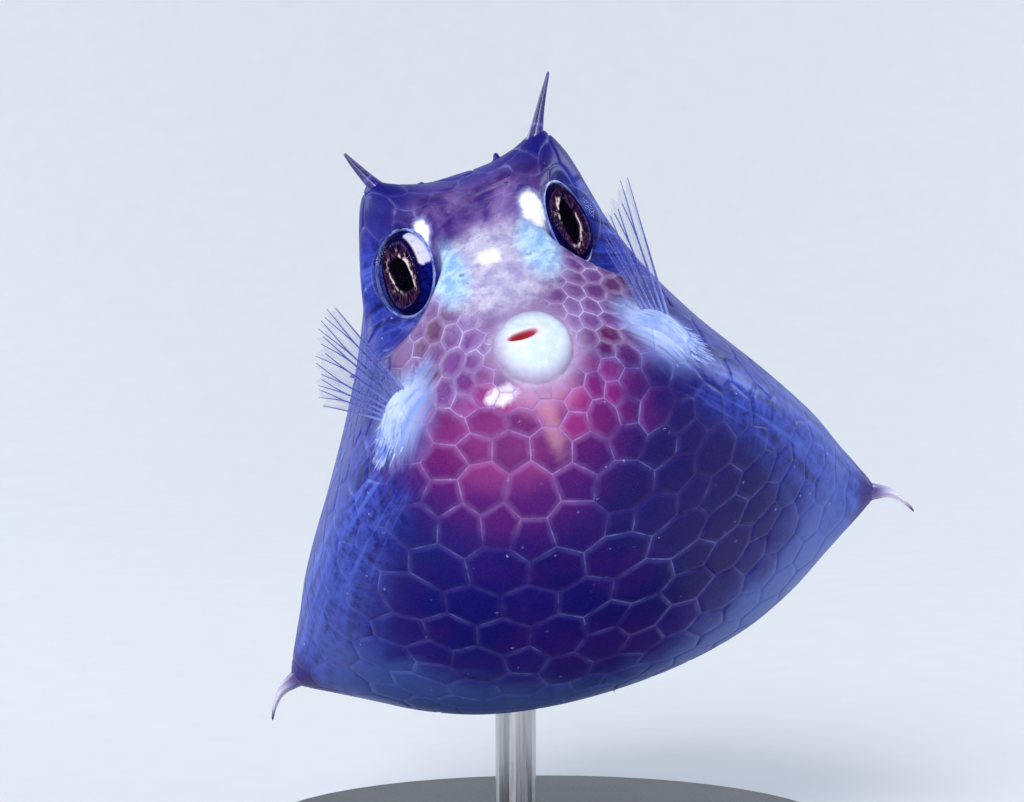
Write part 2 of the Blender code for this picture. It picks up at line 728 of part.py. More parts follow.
lip_profile = [(r * LIP_RADIUS, z * LIP_LENGTH) for r, z in LIP_PROFILE]
lips = turned(lip_profile, lip_frame)
slit = ball(1, lip_frame @ Matrix.Translation((0, 0, LIP_LENGTH)), 16, 8, SLIT_SIZE)
add_node("lips", combine(lips, [slit], "DIFFERENCE"), flesh, fish)

# Pectoral fins: a low fleshy dome in its seat with the fan of rays fused to it.
for fan, side, word in ((FAN_LEFT, 1, "left"), (FAN_RIGHT, -1, "right")):
    pad = pads[word]
    dome = [(r * PAD_RADIUS, z * (PAD_HEIGHT + PAD_SINK) - PAD_SINK) for r, z in PAD_PROFILE]
    front = pad @ Vector((-side * fan["root"], *FAN_SEAT))
    back = pad @ Vector((side * fan["root"], *FAN_SEAT))
    blade = fin(front, back, fan["first"], fan["last"], fan["lengths"], fan["bend"])
    add_node("pectoral_fin_" + word, combine(turned(dome, pad, 16), [blade], "UNION"),
             fin_skin, fish)

for name, keel in (("dorsal_fin", DORSAL), ("anal_fin", ANAL)):
    front = roots[name] @ Vector((0, KEEL_HALF - KEEL_END, -KEEL_DEPTH))
    back = roots[name] @ Vector((0, KEEL_END - KEEL_HALF, -KEEL_DEPTH))
    if front.y > back.y:
        front, back = back, front
    add_node(name, fin(front, back, keel["first"], keel["last"], keel["lengths"],
                       keel["bend"], rays=6, rows=4), fin_skin, fish)

# Tail: an oval peduncle out of its socket, and a fan a gap behind its end.
add_node("tail_peduncle", tube(PEDUNCLE, PEDUNCLE_RADII, PEDUNCLE_FLATTEN, 4), skin, fish)
end = np.array(PEDUNCLE[-1])
run = unit(end - PEDUNCLE[-2])
rise = np.array((0, -run[2], run[1]))
spread = math.radians(TAIL_FAN)
add_node("tail_fin", fin(end + run * GAP + rise * TAIL_HALF, end + run * GAP - rise * TAIL_HALF,
                         run * math.cos(spread) + rise * math.sin(spread),
                         run * math.cos(spread) - rise * math.sin(spread),
                         TAIL_LENGTHS, (0.4, 0, 0), rays=7, rows=5), fin_skin, fish)

# Stand.
base = drum(BASE_RADIUS, 0, BASE_THICKNESS, Matrix(), 48)
rim = [e for e in base.edges if e.calc_face_angle() > 1]
bmesh.ops.bevel(base, geom=rim, offset=BASE_BEVEL, segments=2, profile=0.5, affect="EDGES")
add_node("stand_base", base, base_paint)
rod = drum(ROD_RADIUS, BASE_THICKNESS + GAP, rod_top, Matrix.Translation((*ROD_PLACE, 0)), 20)
add_node("stand_rod", rod, rod_steel)
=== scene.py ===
import math
from types import SimpleNamespace

import bmesh
import bpy
import numpy as np
from mathutils import Matrix, Vector


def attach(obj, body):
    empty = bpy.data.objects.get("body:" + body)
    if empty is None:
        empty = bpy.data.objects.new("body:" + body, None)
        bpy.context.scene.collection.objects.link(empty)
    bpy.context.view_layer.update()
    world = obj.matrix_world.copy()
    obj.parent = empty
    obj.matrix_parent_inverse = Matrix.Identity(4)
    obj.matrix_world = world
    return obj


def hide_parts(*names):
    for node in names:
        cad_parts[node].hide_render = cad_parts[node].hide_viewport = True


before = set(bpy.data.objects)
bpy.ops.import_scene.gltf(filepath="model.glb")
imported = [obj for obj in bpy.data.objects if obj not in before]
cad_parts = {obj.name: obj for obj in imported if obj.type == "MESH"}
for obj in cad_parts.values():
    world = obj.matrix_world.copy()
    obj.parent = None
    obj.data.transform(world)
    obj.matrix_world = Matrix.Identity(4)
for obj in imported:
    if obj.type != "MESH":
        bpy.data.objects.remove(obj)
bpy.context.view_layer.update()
print("frame loaded")

# The fish's own frame is in millimetres: it looks along -y, its left is +x, its back is up.
pose = {"pitch": 36.0, "roll": 20.2, "yaw": 4.2, "centre": (0.0, 0.0, 25.2)}
turn = (Matrix.Rotation(math.radians(-pose["roll"]), 4, "Y")
        @ Matrix.Rotation(math.radians(-pose["pitch"]), 4, "X")
        @ Matrix.Rotation(math.radians(pose["yaw"]), 4, "Z"))
fishToWorld = Matrix.Scale(0.001, 4) @ Matrix.Translation(pose["centre"]) @ turn
worldToFish = fishToWorld.inverted()
sides = ((1, "left"), (-1, "right"))


def unit(vector):
    vector = np.asarray(vector, float)
    return vector / np.linalg.norm(vector, axis=-1, keepdims=True)


def smoothstep(low, high, value):
    t = np.clip((value - low) / (high - low), 0.0, 1.0)
    return t * t * (3 - 2 * t)


def onSide(vector, side):      # 1 is the fish's left, -1 its right
    return np.asarray(vector, float) * (side, 1, 1)


def aroundAxis(point, place, direction):   # height and distance from an axis
    axis = unit(direction)
    offset = point - place
    height = offset @ axis
    radial = np.linalg.norm(offset - height[..., None] * axis, axis=-1)
    return axis, height, radial


def inFrame(point, matrix):    # places in a local frame
    matrix = np.array(matrix)
    return (point - matrix[:3, 3]) @ matrix[:3, :3]


def outOfFrame(local, matrix):
    matrix = np.array(matrix)
    return local @ matrix[:3, :3].T + matrix[:3, 3]


def frameOn(place, axis, up=(0, 0, 1)):    # local z on the axis, local y near up
    z = Vector(axis).normalized()
    x = Vector(up).cross(z).normalized()
    rotation = Matrix((x, z.cross(x), z)).transposed().to_4x4()
    return Matrix.Translation(Vector(place)) @ rotation


def toWorld(bm):
    bmesh.ops.transform(bm, matrix=fishToWorld, verts=bm.verts)


def finishPiece(name, bm, material, nodes=(), angle=60):
    mesh = bpy.data.meshes.new(name)
    bm.to_mesh(mesh)
    bm.free()
    mesh.shade_smooth()
    if angle:
        mesh.set_sharp_from_angle(angle=math.radians(angle))
    mesh.materials.append(material)
    piece = bpy.data.objects.new(name, mesh)
    bpy.context.scene.collection.objects.link(piece)
    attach(piece, "root")
    if nodes:
        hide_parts(*nodes)
    return piece


def srgb(red, green, blue):
    return tuple(((c / 255 + 0.055) / 1.055) ** 2.4 if c > 10 else c / 255 / 12.92
                 for c in (red, green, blue))


class Value:
    # a socket that takes part in sums; numbers may stand on either side
    def __init__(self, finish, out):
        self.finish, self.out = finish, out

    def sum(self, operation, first, second=0.0):
        return self.finish.add("ShaderNodeMath", {"operation": operation}, {0: first, 1: second})

    def __add__(self, other):
        return self.sum("ADD", self, other)

    def __radd__(self, other):
        return self.sum("ADD", other, self)

    def __sub__(self, other):
        return self.sum("SUBTRACT", self, other)

    def __rsub__(self, other):
        return self.sum("SUBTRACT", other, self)

    def __mul__(self, other):
        return self.sum("MULTIPLY", self, other)

    def __rmul__(self, other):
        return self.sum("MULTIPLY", other, self)

    def __truediv__(self, other):
        return self.sum("DIVIDE", self, other)

    def __abs__(self):
        return self.sum("ABSOLUTE", self)

    def most(self, other):
        return self.sum("MAXIMUM", self, other)

    def sine(self):
        return self.sum("SINE", self)

    def ease(self, low, high):     # 0 below low, 1 above high, soft between
        return self.finish.add("ShaderNodeMapRange", {"interpolation_type": "SMOOTHSTEP"},
                               {0: self, 1: low, 2: high})


class Finish:
    # one material, its tones, its nodes and the colour that its layers have reached
    def __init__(self, name, tones, start, roughness, **sockets):
        self.material = bpy.data.materials.new(name)
        self.material.use_nodes = True
        self.tree = self.material.node_tree
        self.tones = tones
        self.colour = start
        self.shader = self.tree.nodes["Principled BSDF"]
        self.shader.inputs["Base Color"].default_value = self.tone(start)
        self.shader.inputs["Roughness"].default_value = roughness
        for key, value in sockets.items():
            self.shader.inputs[key.replace("_", " ")].default_value = value

    def tone(self, colour):        # a named tone, unless it is a value already
        return colour if isinstance(colour, Value) else (*srgb(*self.tones[colour]), 1)

    def add(self, kind, settings=None, values=None, out=0):
        node = self.tree.nodes.new(kind)
        for key, value in (settings or {}).items():
            setattr(node, key, value)
        for key, value in (values or {}).items():
            if isinstance(value, Value):
                self.tree.links.new(value.out, node.inputs[key])
            else:
                node.inputs[key].default_value = value
        return Value(self, node.outputs[out])

    def mix(self, factor, first, second):
        return self.add("ShaderNodeMix", {"data_type": "RGBA", "clamp_factor": True},
                        {0: factor, 6: self.tone(first), 7: self.tone(second)}, 2)

    def lay(self, mask, colour):   # one more layer over the colour so far
        self.colour = self.mix(mask, self.colour, colour)

    def objectPlace(self):
        return self.add("ShaderNodeTexCoord", out=3)

    def fishPlace(self):           # object coordinates turned back to the fish, in mm
        turned = worldToFish.to_3x3().normalized().to_euler("XYZ")
        return self.add("ShaderNodeMapping", {"vector_type": "POINT"},
                        {0: self.objectPlace(), 1: worldToFish.translation, 2: turned,
                         3: (1000, 1000, 1000)})

    def split(self, vector):
        node = self.tree.nodes.new("ShaderNodeSeparateXYZ")
        self.tree.links.new(vector.out, node.inputs[0])
        return [Value(self, out) for out in node.outputs]

    def combine(self, x, y, z=0.0):
        return self.add("ShaderNodeCombineXYZ", {}, {0: x, 1: y, 2: z})

    def attribute(self, name):
        return self.add("ShaderNodeAttribute", {"attribute_name": name}, out=2)

    def noise(self, vector, scale, detail, roughness, distortion=0.0):
        return self.add("ShaderNodeTexNoise", {}, {"Vector": vector, "Scale": scale,
                        "Detail": detail, "Roughness": roughness, "Distortion": distortion})

    def spot(self, place, at, reach, stretch=(1, 1, 1)):     # 1 at a place, 0 a reach away
        scaled = self.add("ShaderNodeVectorMath", {"operation": "MULTIPLY"},
                          {0: place, 1: tuple(1 / s for s in stretch)})
        at = tuple(a / s for a, s in zip(at, stretch))
        away = self.add("ShaderNodeVectorMath", {"operation": "DISTANCE"},
                        {0: scaled, 1: at}, out=1)
        return 1 - away.ease(0.0, reach)

    def bump(self, height, strength, distance):
        return self.add("ShaderNodeBump", {}, {"Strength": strength, "Distance": distance,
                        "Height": height})

    def feed(self, **links):       # the layers' colour goes to Base Color
        for key, value in {"Base_Color": self.colour, **links}.items():
            self.tree.links.new(value.out, self.shader.inputs[key.replace("_", " ")])
        return self.material


body = {
    # y, belly z, side ridge half width and z, flank half width, brow half width and z, crown z
    "stations": [
        (-17.5, -4.9, 2.3, -3.7, 2.4, 2.1, -1.7, -0.9),
        (-16.2, -6.5, 4.9, -4.3, 4.3, 3.3, 3.2, 4.2),
        (-14.4, -8.0, 7.4, -4.6, 6.0, 4.2, 8.3, 9.5),
        (-11.8, -9.4, 9.8, -4.7, 7.9, 6.1, 12.7, 13.6),
        (-7.2, -10.9, 12.7, -4.6, 9.3, 6.2, 13.9, 14.9),
        (-1.5, -11.9, 15.2, -4.4, 11.7, 6.8, 13.2, 15.3),
        (4.5, -12.2, 17.0, -4.0, 13.8, 7.6, 12.0, 15.0),
        (9.8, -11.0, 17.3, -3.4, 13.9, 7.6, 10.0, 13.2),
        (14.0, -8.3, 14.8, -2.8, 11.5, 6.6, 7.8, 10.6),
        (16.8, -5.1, 9.4, -1.8, 7.5, 4.9, 5.6, 7.8),
        (18.2, -2.1, 4.4, 0.0, 4.0, 3.0, 3.6, 4.8),
    ],
    "mouth": (0.0, -18.0, -3.0),
    "vent": (0.0, 18.6, 1.4),
    "bellyWidth": 0.57,
    "bellyDrop": 0.77,
    "roofWidth": 0.52,
    "roofRise": 0.72,
}


def section(station):      # twelve points round the body
    y, belly, ridgeW, ridgeZ, flankW, browW, browZ, crown = station
    corner = (body["bellyWidth"] * ridgeW, y, ridgeZ + (belly - ridgeZ) * body["bellyDrop"])
    roof = (body["roofWidth"] * browW, y, browZ + (crown - browZ) * body["roofRise"])
    side = [(0.0, y, belly), corner, (ridgeW, y, ridgeZ),
            (flankW, y, (ridgeZ + browZ) / 2), (browW, y, browZ), roof, (0.0, y, crown)]
    return side + [(-x, yy, z) for x, yy, z in side[5:0:-1]]


def makeCage():            # rows of points, with one more row past each pole
    rows = [[body["mouth"]] * 12] + [section(s) for s in body["stations"]]
    grid = np.array(rows + [[body["vent"]] * 12])
    return np.concatenate([np.roll(grid[1], 6, axis=0)[None], grid,
                           np.roll(grid[-2], 6, axis=0)[None]])


cage = makeCage()


def spanWeights(t):
    return np.stack([(-t + 2 * t**2 - t**3) / 2, (2 - 5 * t**2 + 3 * t**3) / 2,
                     (t + 4 * t**2 - 3 * t**3) / 2, (t**3 - t**2) / 2], -1)


def loft(heading):         # unit vectors of a ball to points of the plain body
    spans = len(body["stations"]) + 1
    along = np.arccos(np.clip(-heading[..., 1], -1, 1)) / math.pi * spans
    row = np.minimum(along.astype(int), spans - 1)
    across = (np.arctan2(heading[..., 2], heading[..., 0]) + math.pi / 2) / math.pi * 6 % 12
    column = across.astype(int) % 12
    rowWeight = spanWeights(along - row)
    columnWeight = spanWeights(across - np.floor(across))
    point = np.zeros(heading.shape)
    for i in range(4):
        for j in range(4):
            weight = rowWeight[..., i] * columnWeight[..., j]
            point += weight[..., None] * cage[row + i, (column + j - 1) % 12]
    return point


eye = {
    "centre": (4.35, -12.0, 7.7),
    "radius": 2.65,
    "orbitAxis": (0.82, -0.53, -0.21),
    "orbitTurn": 7.0,                 # degrees that both orbits face to the fish's left
    "orbitHeight": 0.75,
    "orbitInner": 2.9,
    "orbitOuter": 5.3,
    "orbitBack": 3.0,
    "socket": 0.6,                    # how far the skin turns in behind the ball
    "socketBack": 2.5,
    "sight": {1: (0.85, -0.49, -0.16), -1: (0.88, -0.44, -0.15)},   # where each pupil looks
    "ring": 2.58,                     # the lid ring round the opening
    "ringThick": 0.1,
    # radius, height, tone: 0 pupil floor, 1 pupil rim, 2 outer iris, 3 ball
    "profile": [(0.0, 0.86, 0.0), (0.5, 0.86, 0.0), (1.0, 0.86, 0.0), (1.16, 0.87, 0.35),
                (1.21, 0.92, 0.8), (1.26, 0.98, 1.0), (1.33, 0.98, 1.12), (1.46, 0.95, 1.3),
                (1.62, 0.94, 1.5), (1.85, 0.99, 1.7), (2.05, 1.03, 1.85), (2.2, 1.02, 1.95),
                (2.3, 0.94, 2.1), (2.36, 0.8, 2.4)],
    "ballRadius": 2.48,
    "ballRows": 20,
    "pupilRound": 1.21,               # the profile's radius at the pupil's edge
    "pupil": (0.96, 1.6),             # half width and half height of the pointed oval
    "iris": (1.95, 2.34),
    "lean": {1: 1.74, -1: 2.02},      # where the upper point lies
    "shine": {1: (0.5, -0.85, 0.2), -1: (0.22, -0.96, 0.1)},    # the painted silver highlight
    "tones": {
        "irisDark": (24, 6, 46), "irisBrown": (84, 42, 66), "irisStreak": (160, 116, 122),
        "pupilRimGlint": (255, 240, 214), "fleck": (244, 214, 188),
        "irisEdge": (10, 6, 58), "irisThread": (134, 110, 176), "ballDark": (8, 6, 76),
        "ballBlue": (24, 34, 142), "silver": (250, 246, 254), "silverStreak": (140, 120, 180),
        "pupil": (3.3, 3.3, 6.6), "glass": (39, 48, 97), "lidDark": (36, 50, 156),
        "lidPale": (120, 152, 230),
    },
}


def orbitAxis(side):       # the two orbits aren't quite mirrored
    across, ahead, up = eye["orbitAxis"]
    turned = math.atan2(across, -ahead) + side * math.radians(eye["orbitTurn"])
    reach = math.hypot(across, ahead)
    return unit((side * reach * math.sin(turned), -reach * math.cos(turned), up))


def flattenOrbit(point, side):
    axis, height, radial = aroundAxis(point, onSide(eye["centre"], side), orbitAxis(side))
    pull = 1 - smoothstep(eye["orbitInner"], eye["orbitOuter"], radial)
    pull = np.where(height > -eye["orbitBack"], pull, 0.0)
    return point - (pull * (height - eye["orbitHeight"]))[..., None] * axis


def sinkOrbit(point, side):            # the skin turns in behind the eyeball
    axis, height, radial = aroundAxis(point, onSide(eye["centre"], side), orbitAxis(side))
    pull = 1 - smoothstep(eye["ring"] - 0.3, eye["ring"] - 0.02, radial)
    pull = np.where(height > -eye["socketBack"], pull, 0.0)
    return point - (pull * (height + eye["socket"]))[:, None] * axis


horn = {"root": (4.4, -12.4, 12.6), "axis": (0.45, -0.47, 0.745), "flare": 1.75, "spread": 3.8,
        "radius": 0.5, "length": 2.5, "tip": 0.09, "bend": (-0.1, 0.1, 0.1),
        "own": {1: (0.48, -0.21, 0.31), -1: (0.25, 0.28, -0.47)}}    # each horn's own bend
pelvic = {"root": (17.4, 9.0, -3.3), "axis": (0.88, 0.47, -0.03), "flare": 2.0, "spread": 5.0,
          "radius": 0.6, "length": 1.9, "tip": 0.1, "bend": (-0.14, 0.69, -1.03)}
backThorn = {"root": (0.0, 1.5, 15.5), "axis": (0.0, 0.45, 0.9), "flare": 1.2, "spread": 3.0,
             "radius": 0.6, "length": 2.2, "tip": 0.1, "bend": (0.0, 0.5, 0.0)}
ridgeThorn = {"root": (9.2, 3.8, 12.2), "axis": (0.7, 0.25, 0.68), "flare": 0.8, "spread": 2.4,
              "radius": 0.5, "length": 1.1, "tip": 0.1, "bend": (0.1, 0.15, 0.0)}
flare = {"curve": 2.2, "depth": 1.2}       # how steeply it rises, how deep it takes points along


def drawFlare(point, spike, side):     # the shell rises to a spine's foot
    axis, height, radial = aroundAxis(point, onSide(spike["root"], side),
                                      onSide(spike["axis"], side))
    rise = np.clip(1 - radial / spike["spread"], 0, 1) ** flare["curve"]
    rise = np.where(height > -flare["depth"] * spike["spread"], rise, 0.0)
    return point + (rise * spike["flare"])[..., None] * axis


def spikes():              # the thorn in the middle of the back has no side
    yield backThorn, 0, "back_thorn"
    for side, word in sides:
        yield horn, side, "horn_" + word
        yield pelvic, side, "pelvic_spine_" + word
        yield ridgeThorn, side, "ridge_thorn_" + word


def shell(heading, flared=True):
    point = loft(heading)
    for side in (1, -1):
        point = flattenOrbit(point, side)
    if flared:
        for spike, side, _ in spikes():
            point = drawFlare(point, spike, side or 1)
    return point


def shellNormal(heading, flared=True):
    helper = np.where(np.abs(heading[..., :1]) < 0.7, [[1.0, 0, 0]], [[0, 0, 1.0]])
    first = unit(np.cross(helper, heading))
    second = np.cross(heading, first)
    centre = shell(heading, flared)
    du = shell(unit(heading + 2e-3 * first), flared) - centre
    dv = shell(unit(heading + 2e-3 * second), flared) - centre
    return unit(np.cross(du, dv))


plate = {
    "width": 2.95,
    "faceWidth": 1.3,
    "spineWidth": 1.9,
    "growth": 0.5,
    "clear": 1.7,                      # no plate's middle starts nearer to a spine
    "faceCentre": (0.0, -16.5, 2.0),
    "faceStretch": (1.25, 1.0, 1.5),
    "faceReach": (4.5, 9.0),          # where the small plates end and the large ones begin
    "samples": (120, 180),
    "relax": 9,
    "seed": 21,
    "shadeSeed": 3,
    "rows": (0.0, 0.035, 0.09, 0.25, 0.62, 1.0),   # from the seam to the plate's middle
    "raise": 0.08,
    "border": 0.15,
    "bare": (0.0, -16.6, 3.6),         # hardly any borders round this place on the snout
    "bareReach": (3.0, 8.0),
    "edgeReach": (12.0, 15.5),         # they fade again towards the side ridges
}


def sampleShell():         # headings, points and areas spread over the plain body
    rows, columns = plate["samples"]
    polar = (np.arange(rows) + 0.5) / rows * math.pi
    around = np.arange(columns) / columns * 2 * math.pi
    polar, around = (a.ravel() for a in np.meshgrid(polar, around, indexing="ij"))
    ring = np.sin(polar)
    heading = np.stack([ring * np.cos(around), -np.cos(polar), ring * np.sin(around)], -1)
    point = shell(heading, False)
    grid = point.reshape(rows, columns, 3)
    across = np.roll(grid, -1, 1) - np.roll(grid, 1, 1)
    padded = np.concatenate([grid[:1], grid, grid[-1:]])
    area = np.linalg.norm(np.cross(across, padded[2:] - padded[:-2]), axis=-1).ravel() / 4
    return heading, point, area


sampled = sampleShell()


def nearestHeading(target):
    return sampled[0][np.argmin(np.linalg.norm(sampled[1] - target, axis=-1))]


for spike in (horn, pelvic, backThorn, ridgeThorn):    # roots sit on the plain body
    near = nearestHeading(spike["root"])
    if spike is backThorn:
        near = unit(near * (0, 1, 1))
    spike["root"] = tuple(shell(near[None], False)[0])


def shellFrame(target):
    near = nearestHeading(target)
    return frameOn(shell(near[None], False)[0], shellNormal(near[None], False)[0])


def plateWidth(point):
    reach = np.linalg.norm((point - plate["faceCentre"]) / plate["faceStretch"], axis=-1)
    face = 1 - smoothstep(*plate["faceReach"], reach)
    width = plate["width"] + (plate["faceWidth"] - plate["width"]) * face
    for spike, side, _ in spikes():
        away = np.linalg.norm(point - onSide(spike["root"], side or 1), axis=-1)
        width = np.minimum(width, plate["spineWidth"] + plate["growth"] * away)
    return width


def plateMiddles():        # headings of the plates' middles, relaxed until they are even
    heading, point, area = sampled
    width = plateWidth(point)
    clear = np.all([np.linalg.norm(point - onSide(s["root"], side or 1), axis=-1)
                    > plate["clear"] for s, side, _ in spikes()], axis=0)
    fixed = np.array([nearestHeading(onSide(s["root"], side or 1)) for s, side, _ in spikes()])
    count = int(np.sum(area / (math.sqrt(0.75) * width**2)))       # so many hexagons fit
    chance = np.where(clear, area / width**2, 0.0)
    rng = np.random.default_rng(plate["seed"])
    start = rng.choice(len(heading), count, replace=False, p=chance / chance.sum())
    middles = np.concatenate([fixed, heading[start]])
    weight = area / width**4
    for _ in range(plate["relax"]):
        place = shell(middles, False)
        owner = ((place**2).sum(-1)[None] - 2 * point @ place.T).argmin(1)
        total = np.zeros((len(middles), 3))
        np.add.at(total, owner, heading * weight[:, None])
        moved = np.linalg.norm(total, axis=-1) > 0
        moved[:len(fixed)] = False
        middles[moved] = unit(total[moved])
    return middles


middles = plateMiddles()
print("plates laid out:", len(middles))


farOff = 9.0               # a mask's value away from its place

mouth = {
    "back": (0.32, -17.0, -3.35),
    "axis": (0.13, -0.965, -0.22),
    "front": (0.4, -17.8, -3.6),
    "radius": 2.2,
    "length": 2.1,
    "edge": 0.3,                       # height at the cushion's edge, as a share of its length
    "round": (2.4, 0.62),              # how full the cushion is
    "blend": (0.97, 1.24),
    "pleats": 23,
    "pleatHigh": 0.02,
    "slit": (0.85, 0.24, 0.8),         # half width, half height, depth
    "slitPlace": (-0.6, 0.5),
    "slitArch": 0.1,
    "fold": 0.07,                      # the lips' rise round the slit
    "finer": (3.0, 2),                 # how far the finer mesh reaches, and its cuts
}


def raiseLips(point):      # a cushion with a slanted slit grows out of the face
    here = frameOn(mouth["back"], mouth["axis"])
    local = inFrame(point, here)
    x, y, z = local.T
    rim = np.where(np.abs(z) < 4, np.hypot(x, y) / mouth["radius"], farOff)
    flat, full = mouth["round"]
    dome = (1 - np.clip(rim / 0.99, 0, 1) ** flat) ** full
    high = mouth["length"] * (mouth["edge"] + 0.68 * dome)
    pleats = np.cos(np.arctan2(y, x) * mouth["pleats"]) * smoothstep(0.35, 0.8, rim)
    high += mouth["pleatHigh"] * pleats
    wide, tall, deep = mouth["slit"]
    across, up = x - mouth["slitPlace"][0], y - mouth["slitPlace"][1]
    slit = np.hypot(across / wide, (up + mouth["slitArch"] * np.cos(across * 1.6)) / tall)
    slit = np.where(rim < 1.0, slit, farOff)
    high += mouth["fold"] * np.exp(-((slit - 1.8) / 0.8) ** 2)
    high -= deep * (1 - smoothstep(0.4, 1.2, slit))
    local[:, 2] += (1 - smoothstep(*mouth["blend"], rim)) * (high - z)
    return outOfFrame(local, here), rim, slit


pad = {
    "place": (7.7, -13.9, -2.8),
    "radius": 2.35,
    "height": 0.7,
    "slope": (0.2, 1.12),              # from the full height to none, as shares of the radius
    "brush": (0.5, 0.7, -0.55),        # it is combed outward and down
    "stretch": (1.2, 0.85),
    "finer": (1.3, 1),                 # as a share of the radius
}


def padFrame(side):        # local x runs the way the pad is combed
    seat = shellFrame(onSide(pad["place"], side))
    normal = seat.to_3x3().col[2]
    brush = Vector(onSide(pad["brush"], side))
    return frameOn(seat.translation, normal, normal.cross(brush))


def raisePad(point, side):     # the fleshy foot of a pectoral fin
    here = padFrame(side)
    local = inFrame(point, here)
    x, y, z = local.T
    length, width = pad["stretch"]
    rim = np.where(np.abs(z) < 3, np.hypot(x / length, y / width) / pad["radius"], farOff)
    local[:, 2] += pad["height"] * (1 - smoothstep(*pad["slope"], rim))
    return outOfFrame(local, here), rim, y.copy()


pores = {                  # place on the left side, rim radius, rim height, depth, stretch
    "nostril": {"place": (2.0, -16.4, 3.6), "rim": 0.26, "rise": 0.05, "depth": 0.2,
                "long": 1.0},
    "gill": {"place": (6.4, -15.0, -1.2), "rim": 0.26, "rise": 0.1, "depth": 0.4, "long": 3.6},
    "brow": {"place": (2.3, -12.2, 13.4), "rim": 0.34, "rise": 0.0, "depth": -0.4, "long": 1.0},
}
poreFiner = (0.4, 4)       # how far the finer mesh reaches past a rim, and its cuts


def raisePore(point, pore, side):      # a rim round a dent, or a plain bump
    here = shellFrame(onSide(pore["place"], side))
    x, y, z = inFrame(point, here).T
    away = np.hypot(x, y / pore["long"]) / pore["rim"]
    away = np.where(np.abs(z) < 2, away, farOff)
    rim = pore["rise"] * np.exp(-((away - 1) / 0.4) ** 2)
    dent = pore["depth"] * (1 - smoothstep(0.25, 0.8, away))
    return point + (rim - dent)[:, None] * np.array(here)[:3, 2], away


tail = {
    "base": (0.0, 18.3, 1.87),
    "axis": (0.0, 0.936, 0.351),
    "length": 4.27,
    "end": 1.45,                       # radius at the stalk's end
    "grow": 0.65,
    "taper": 1.6,
    "foot": 1.4,
    "footLong": 0.1,
    "before": 3.5,                     # only points this near to the base are drawn
    "flatten": 0.72,
    "half": 1.2,
    "fan": 17.0,
    "lengths": (6.6, 7.4, 6.6),
    "finer": (3.9, 4),
}


def drawTail(point):       # the stalk grows out of the rear end
    here = frameOn(tail["base"], tail["axis"])
    local = inFrame(point, here)
    x, y, z = local.T
    reach = np.hypot(x / tail["flatten"], y)
    steps = np.linspace(0, 1, 80)
    radii = (tail["end"] + tail["grow"] * (1 - steps) ** tail["taper"]
             + tail["foot"] * np.exp(-steps / tail["footLong"]))
    far = np.interp(reach, radii[::-1], steps[::-1])
    far = np.where(z > -tail["before"], far, 0.0)
    local[:, 2] += (tail["length"] - z) * far
    return outOfFrame(local, here), far


skinMarks = ("seam", "lift", "along", "pore", "padRim", "padAcross", "rim", "slit")


def plateNet():            # a ball with a vertex in each plate's middle and rows out to the seams
    bm = bmesh.new()
    for name in ("centre",) + skinMarks:
        bm.verts.layers.float.new(name)
    bm.faces.layers.float.new("plateShade")
    bm.faces.layers.int.new("plate")
    centre = bm.verts.layers.float["centre"]
    owner = bm.faces.layers.int["plate"]
    place = shell(middles, False)
    verts = [bm.verts.new(p) for p in unit(place - (0, 0, 1))]     # as seen from inside the fish
    bmesh.ops.convex_hull(bm, input=verts)
    bmesh.ops.recalc_face_normals(bm, faces=bm.faces)
    for vert, point in zip(verts, place):
        vert.co = point
    bmesh.ops.beautify_fill(bm, faces=bm.faces, edges=bm.edges, method="ANGLE")
    for vert, heading in zip(verts, middles):
        vert.co = heading
        vert[centre] = 1.0
    between = list(bm.edges)
    corners = bmesh.ops.poke(bm, faces=bm.faces, center_mode="MEAN")["verts"]
    for vert in corners:
        vert.co.normalize()
        vert[centre] = 0.0
    bmesh.ops.rotate_edges(bm, edges=between, use_ccw=False)    # each becomes a seam
    index = {vert: i for i, vert in enumerate(verts)}
    for face in bm.faces:
        face[owner] = next(index[v] for v in face.verts if v in index)
    bmesh.ops.subdivide_edges(bm, edges=bm.edges, cuts=len(plate["rows"]) - 2,
                              use_grid_fill=True)
    return bm


def refine(bm):            # finer where something small stands out
    near = shell(unit(np.array([v.co for v in bm.verts])), False)
    bm.verts.index_update()
    beside, cuts = poreFiner
    close = [(onSide(p["place"], side), p["rim"] * p["long"] + beside, cuts)
             for p in pores.values() for side in (1, -1)]
    close += [(mouth["front"], *mouth["finer"]), (tail["base"], *tail["finer"])]
    share, cuts = pad["finer"]
    close += [(onSide(pad["place"], side), pad["radius"] * share, cuts) for side in (1, -1)]
    for target, reach, cuts in close:
        wanted = np.linalg.norm(near - target, axis=-1) < reach
        edges = [e for e in bm.edges
                 if all(v.index < len(wanted) and wanted[v.index] for v in e.verts)]
        bmesh.ops.subdivide_edges(bm, edges=edges, cuts=cuts, use_grid_fill=True)
        bm.verts.index_update()


def crowdRows(bm):         # headings with their rows crowded at the seams, and the seams' points
    centre = bm.verts.layers.float["centre"]
    owner = bm.faces.layers.int["plate"]
    weight = np.array([v[centre] for v in bm.verts])[:, None]
    flat = np.array([v.co for v in bm.verts])
    middle = middles[np.array([v.link_faces[0][owner] for v in bm.verts])]
    wanted = np.interp(weight, np.linspace(0, 1, len(plate["rows"])), plate["rows"])
    edge = (flat - middle * weight) / np.maximum(1 - weight, 1e-6)
    moved = middle * wanted + edge * (1 - wanted)
    atMiddle = weight > 0.999
    heading = unit(np.where(atMiddle, middle, moved))
    seamPoint = shell(unit(np.where(atMiddle, middle, edge)))
    return heading, seamPoint, atMiddle[:, 0]


